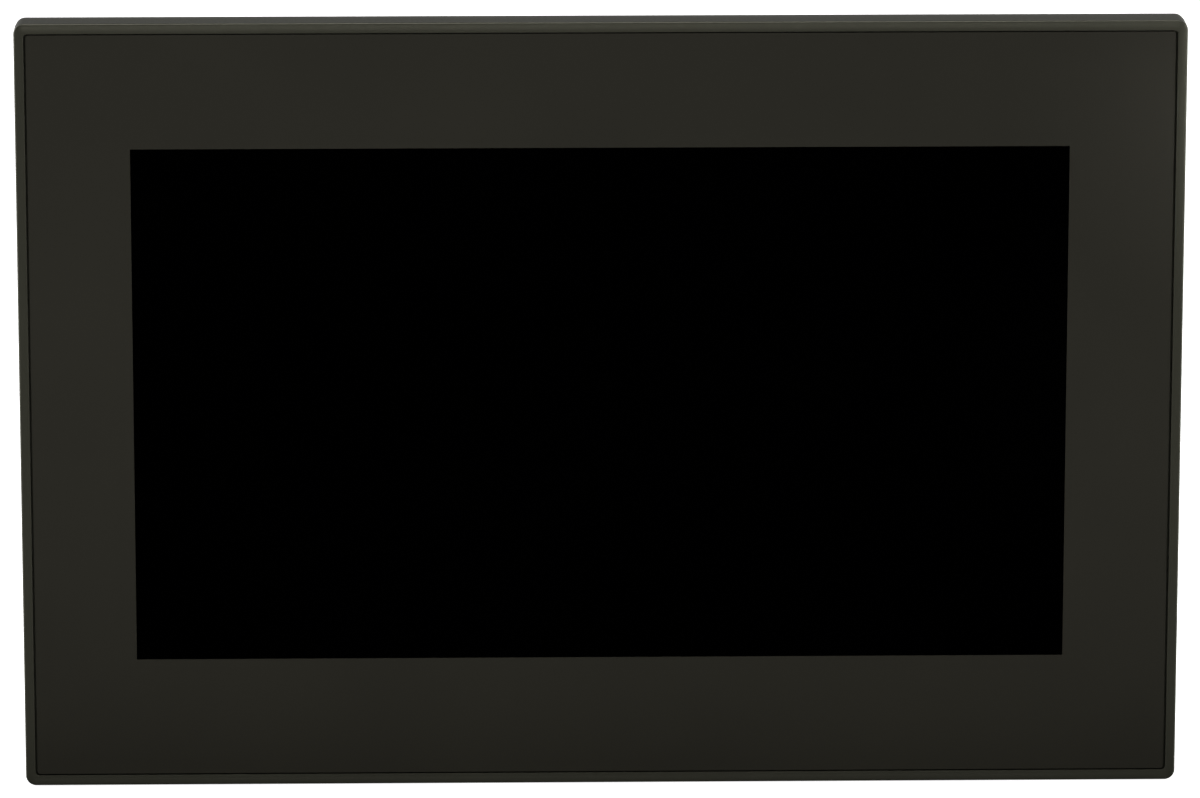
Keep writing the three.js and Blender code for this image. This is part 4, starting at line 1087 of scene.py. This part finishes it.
def populate_board():
    """Small parts on the board's rear face: chips with legs, and rows of tiny resistors and capacitors."""
    y = CONN_Y
    spots = [(-30, 40, 7, 7), (-30, 10, 5, 9), (-58, 40, 8, 5), (50, 2, 6, 6), (-4, -16, 6, 4), (-84, 24, 5, 5), (46, 52, 5, 4), (-52, 12, 4, 4)]
    for k, (x, z, w, h) in enumerate(spots, 1):
        c = rbox(f"board_chip_{k}", x - w, x + w, y + 0.15, y + 1.55, z - h, z + h, 0.15, 2)
        finish_piece(c, M["chip"])
        legs = []
        count = int(2 * w / 1.27) - 1
        for q in range(count):
            lx = x - w + 1.27 * (q + 1)
            for s in (-1, 1):
                za, zb = (z + h - 0.1, z + h + 1.1) if s > 0 else (z - h - 1.1, z - h + 0.1)
                legs.append(rbox("leg", lx - 0.22, lx + 0.22, y + 0.02, y + 0.6, za, zb, 0.05, 1))
        leg = join(*legs)
        leg.name = f"board_legs_{k}"
        finish_piece(leg, M["zinc"], weighted=False)
    small, ends = [], []
    for k in range(90):
        for _ in range(30):
            x, z = random.uniform(-98, 66), random.uniform(-26, 64)
            clear = all(abs(x - sx) > w + 3.5 or abs(z - sz) > h + 3.5 for sx, sz, w, h in spots)
            clear = clear and (abs(x - 24) > 22 or abs(z - 24) > 22) and not (x > 60 and z > 20) and (abs(x + 84) > 9 or abs(z + 14) > 9) and (abs(x + 62) > 8 or abs(z + 14) > 8)
            clear = clear and not (abs(x) > 92 and (abs(z + 30) < 5 or abs(z - 62) < 5))
            if clear:
                break
        else:
            continue
        turn = random.random() < 0.5
        a, b = (1.0, 0.6) if turn else (0.6, 1.0)
        small.append(rbox("r", x - a, x + a, y + 0.02, y + 0.75, z - b, z + b, 0.08, 1))
        for s in (-1, 1):
            ex, ez = (x + s * (a + 0.12), z) if turn else (x, z + s * (b + 0.12))
            da, db = (0.14, 0.6) if turn else (0.6, 0.14)
            ends.append(rbox("e", ex - da, ex + da, y + 0.02, y + 0.77, ez - db, ez + db, 0.05, 1))
    s = join(*small)
    s.name = "board_passives"
    finish_piece(s, plastic("ceramic_tan", (0.26, 0.19, 0.12), 0.5, 4000, 1e-5, 0.3, 0.3), weighted=False)
    e = join(*ends)
    e.name = "board_passive_ends"
    finish_piece(e, M["zinc"], weighted=False)


populate_board()

# ================================================================== floor, light, camera
floor_mesh = bpy.data.meshes.new("floor")
fz = CAD_BOX[0][2] - 0.0002
floor_mesh.from_pydata([(-8, -8, fz), (8, -8, fz), (8, 8, fz), (-8, 8, fz)], [], [(0, 1, 2, 3)])
floor = bpy.data.objects.new("floor", floor_mesh)
bpy.context.scene.collection.objects.link(floor)
fm, fnt, fb, fvec = base_material("pale_floor")
fb.inputs["Base Color"].default_value = (0.9, 0.9, 0.9, 1)
fb.inputs["Roughness"].default_value = 0.9
fb.inputs["Specular IOR Level"].default_value = 0.0
fb.inputs["Emission Color"].default_value = (1, 1, 1, 1)
fb.inputs["Emission Strength"].default_value = 0.90
# seen from underneath the floor is clear, so the object's lower side can be looked at
fgeo = fnt.nodes.new("ShaderNodeNewGeometry")
fclear = fnt.nodes.new("ShaderNodeBsdfTransparent")
fmix = fnt.nodes.new("ShaderNodeMixShader")
fout = fnt.nodes["Material Output"]
fnt.links.new(fgeo.outputs["Backfacing"], fmix.inputs[0])
fnt.links.new(fb.outputs[0], fmix.inputs[1])
fnt.links.new(fclear.outputs[0], fmix.inputs[2])
fnt.links.new(fmix.outputs[0], fout.inputs["Surface"])
floor_mesh.materials.append(fm)
floor.visible_glossy = False
floor.visible_diffuse = False
floor.visible_shadow = False

world = bpy.data.worlds.new("studio")
bpy.context.scene.world = world
world.use_nodes = True
wn = world.node_tree
for n in list(wn.nodes):
    wn.nodes.remove(n)
out = wn.nodes.new("ShaderNodeOutputWorld")
mixer = wn.nodes.new("ShaderNodeMixShader")
path = wn.nodes.new("ShaderNodeLightPath")
bright = wn.nodes.new("ShaderNodeBackground")
bright.inputs["Color"].default_value = (1, 1, 1, 1)
bright.inputs["Strength"].default_value = 1.15
room = wn.nodes.new("ShaderNodeBackground")
tc = wn.nodes.new("ShaderNodeTexCoord")
sepw = wn.nodes.new("ShaderNodeSeparateXYZ")
wn.links.new(tc.outputs["Generated"], sepw.inputs[0])


def world_range(socket, a, b, lo, hi):
    n = wn.nodes.new("ShaderNodeMapRange")
    n.interpolation_type = "SMOOTHSTEP"
    n.inputs["From Min"].default_value = a
    n.inputs["From Max"].default_value = b
    n.inputs["To Min"].default_value = lo
    n.inputs["To Max"].default_value = hi
    wn.links.new(socket, n.inputs["Value"])
    return n.outputs["Result"]


# a pale sky overhead, and a pale backdrop low behind the object
sky = world_range(sepw.outputs["Z"], 0.10, 0.80, 0.0, 0.16)
backdrop = world_range(sepw.outputs["Y"], 0.70, 0.95, 0.0, 1.0)
fade = world_range(sepw.outputs["Z"], 0.05, 0.22, 0.36, 0.15)
times = wn.nodes.new("ShaderNodeMath")
times.operation = "MULTIPLY"
wn.links.new(backdrop, times.inputs[0])
wn.links.new(fade, times.inputs[1])
behind = times.outputs[0]
total = wn.nodes.new("ShaderNodeMath")
total.operation = "ADD"
wn.links.new(sky, total.inputs[0])
wn.links.new(behind, total.inputs[1])
wn.links.new(total.outputs[0], room.inputs["Strength"])
room.inputs["Color"].default_value = (1, 1, 1, 1)
wn.links.new(path.outputs["Is Camera Ray"], mixer.inputs[0])
wn.links.new(room.outputs[0], mixer.inputs[1])
wn.links.new(bright.outputs[0], mixer.inputs[2])
wn.links.new(mixer.outputs[0], out.inputs[0])


def soft_box(name, where, aim, size, power, colour=(1, 1, 1)):
    l = bpy.data.lights.new(name, "AREA")
    l.shape = "RECTANGLE"
    l.size, l.size_y = size
    l.energy = power
    l.color = colour
    o = bpy.data.objects.new(name, l)
    bpy.context.scene.collection.objects.link(o)
    o.location = where
    o.rotation_euler = (Vector(aim) - Vector(where)).to_track_quat("-Z", "Y").to_euler()
    return o


soft_box("key_top", (0.0, -0.06, 1.25), (0, 0, 0.0), (1.4, 0.5), 12.0)
soft_box("front_soft", (0.0, -2.30, 0.66), (0, 0, 0.0), (1.3, 0.40), 4.6)
soft_box("low_front", (0.0, -1.85, -1.30), (0, 0, 0.0), (1.3, 0.5), 1.3)
soft_box("side_right", (1.4, -0.11, -0.02), (0.0, 0, 0.0), (0.5, 0.9), 10.0)
soft_box("side_left", (-1.4, -0.11, -0.02), (0.0, 0, 0.0), (0.5, 0.9), 10.0)
soft_box("back_right", (1.30, 1.05, 0.60), (0, 0, 0), (0.7, 0.9), 9.0)
soft_box("back_left", (-1.30, 1.05, 0.60), (0, 0, 0), (0.7, 0.9), 9.0)
bounce = soft_box("floor_bounce", (-0.05, -0.539, -0.118), (-0.05, -0.539, 1.0), (1.8, 0.922), 10.9)
bounce.visible_camera = False
bounce.visible_glossy = False

patch = bpy.data.lights.new("corner_patch", "SPOT")          # a stray patch of light on the upper right of the film
patch.energy = 4.0
patch.spot_size = math.radians(11.5)
patch.spot_blend = 0.3
patch.shadow_soft_size = 0.02
patch_o = bpy.data.objects.new("corner_patch", patch)
bpy.context.scene.collection.objects.link(patch_o)
patch_o.location = (0.44, -0.26, 0.10)
patch_o.rotation_euler = (Vector((0.179, -0.01, 0.074)) - Vector((0.44, -0.26, 0.10))).to_track_quat("-Z", "Y").to_euler()

cam = bpy.data.cameras.new("camera")
cam.sensor_fit = "HORIZONTAL"
cam.sensor_width = 36.0
cam.lens = 7968.05 / 1200 * 36.0
cam.shift_x = -0.2 / 1200
cam.shift_y = 0.25 / 1200
cam.clip_start = 0.05
cam.clip_end = 100
camera = bpy.data.objects.new("camera", cam)
bpy.context.scene.collection.objects.link(camera)
right = Vector((0.999779579, -0.020987403, 0.000568857))
down = Vector((-0.004468292, -0.239174268, -0.97096638))
fwd = Vector((0.020514115, 0.970749817, -0.23921533))
rot = Matrix((right, -down, -fwd)).transposed()
camera.matrix_world = Matrix.Translation((-0.0392937, -1.8561784, 0.4569053)) @ rot.to_4x4()
bpy.context.scene.camera = camera

bpy.context.scene.view_settings.view_transform = "Standard"
bpy.context.scene.view_settings.look = "None"

bpy.context.view_layer.update()
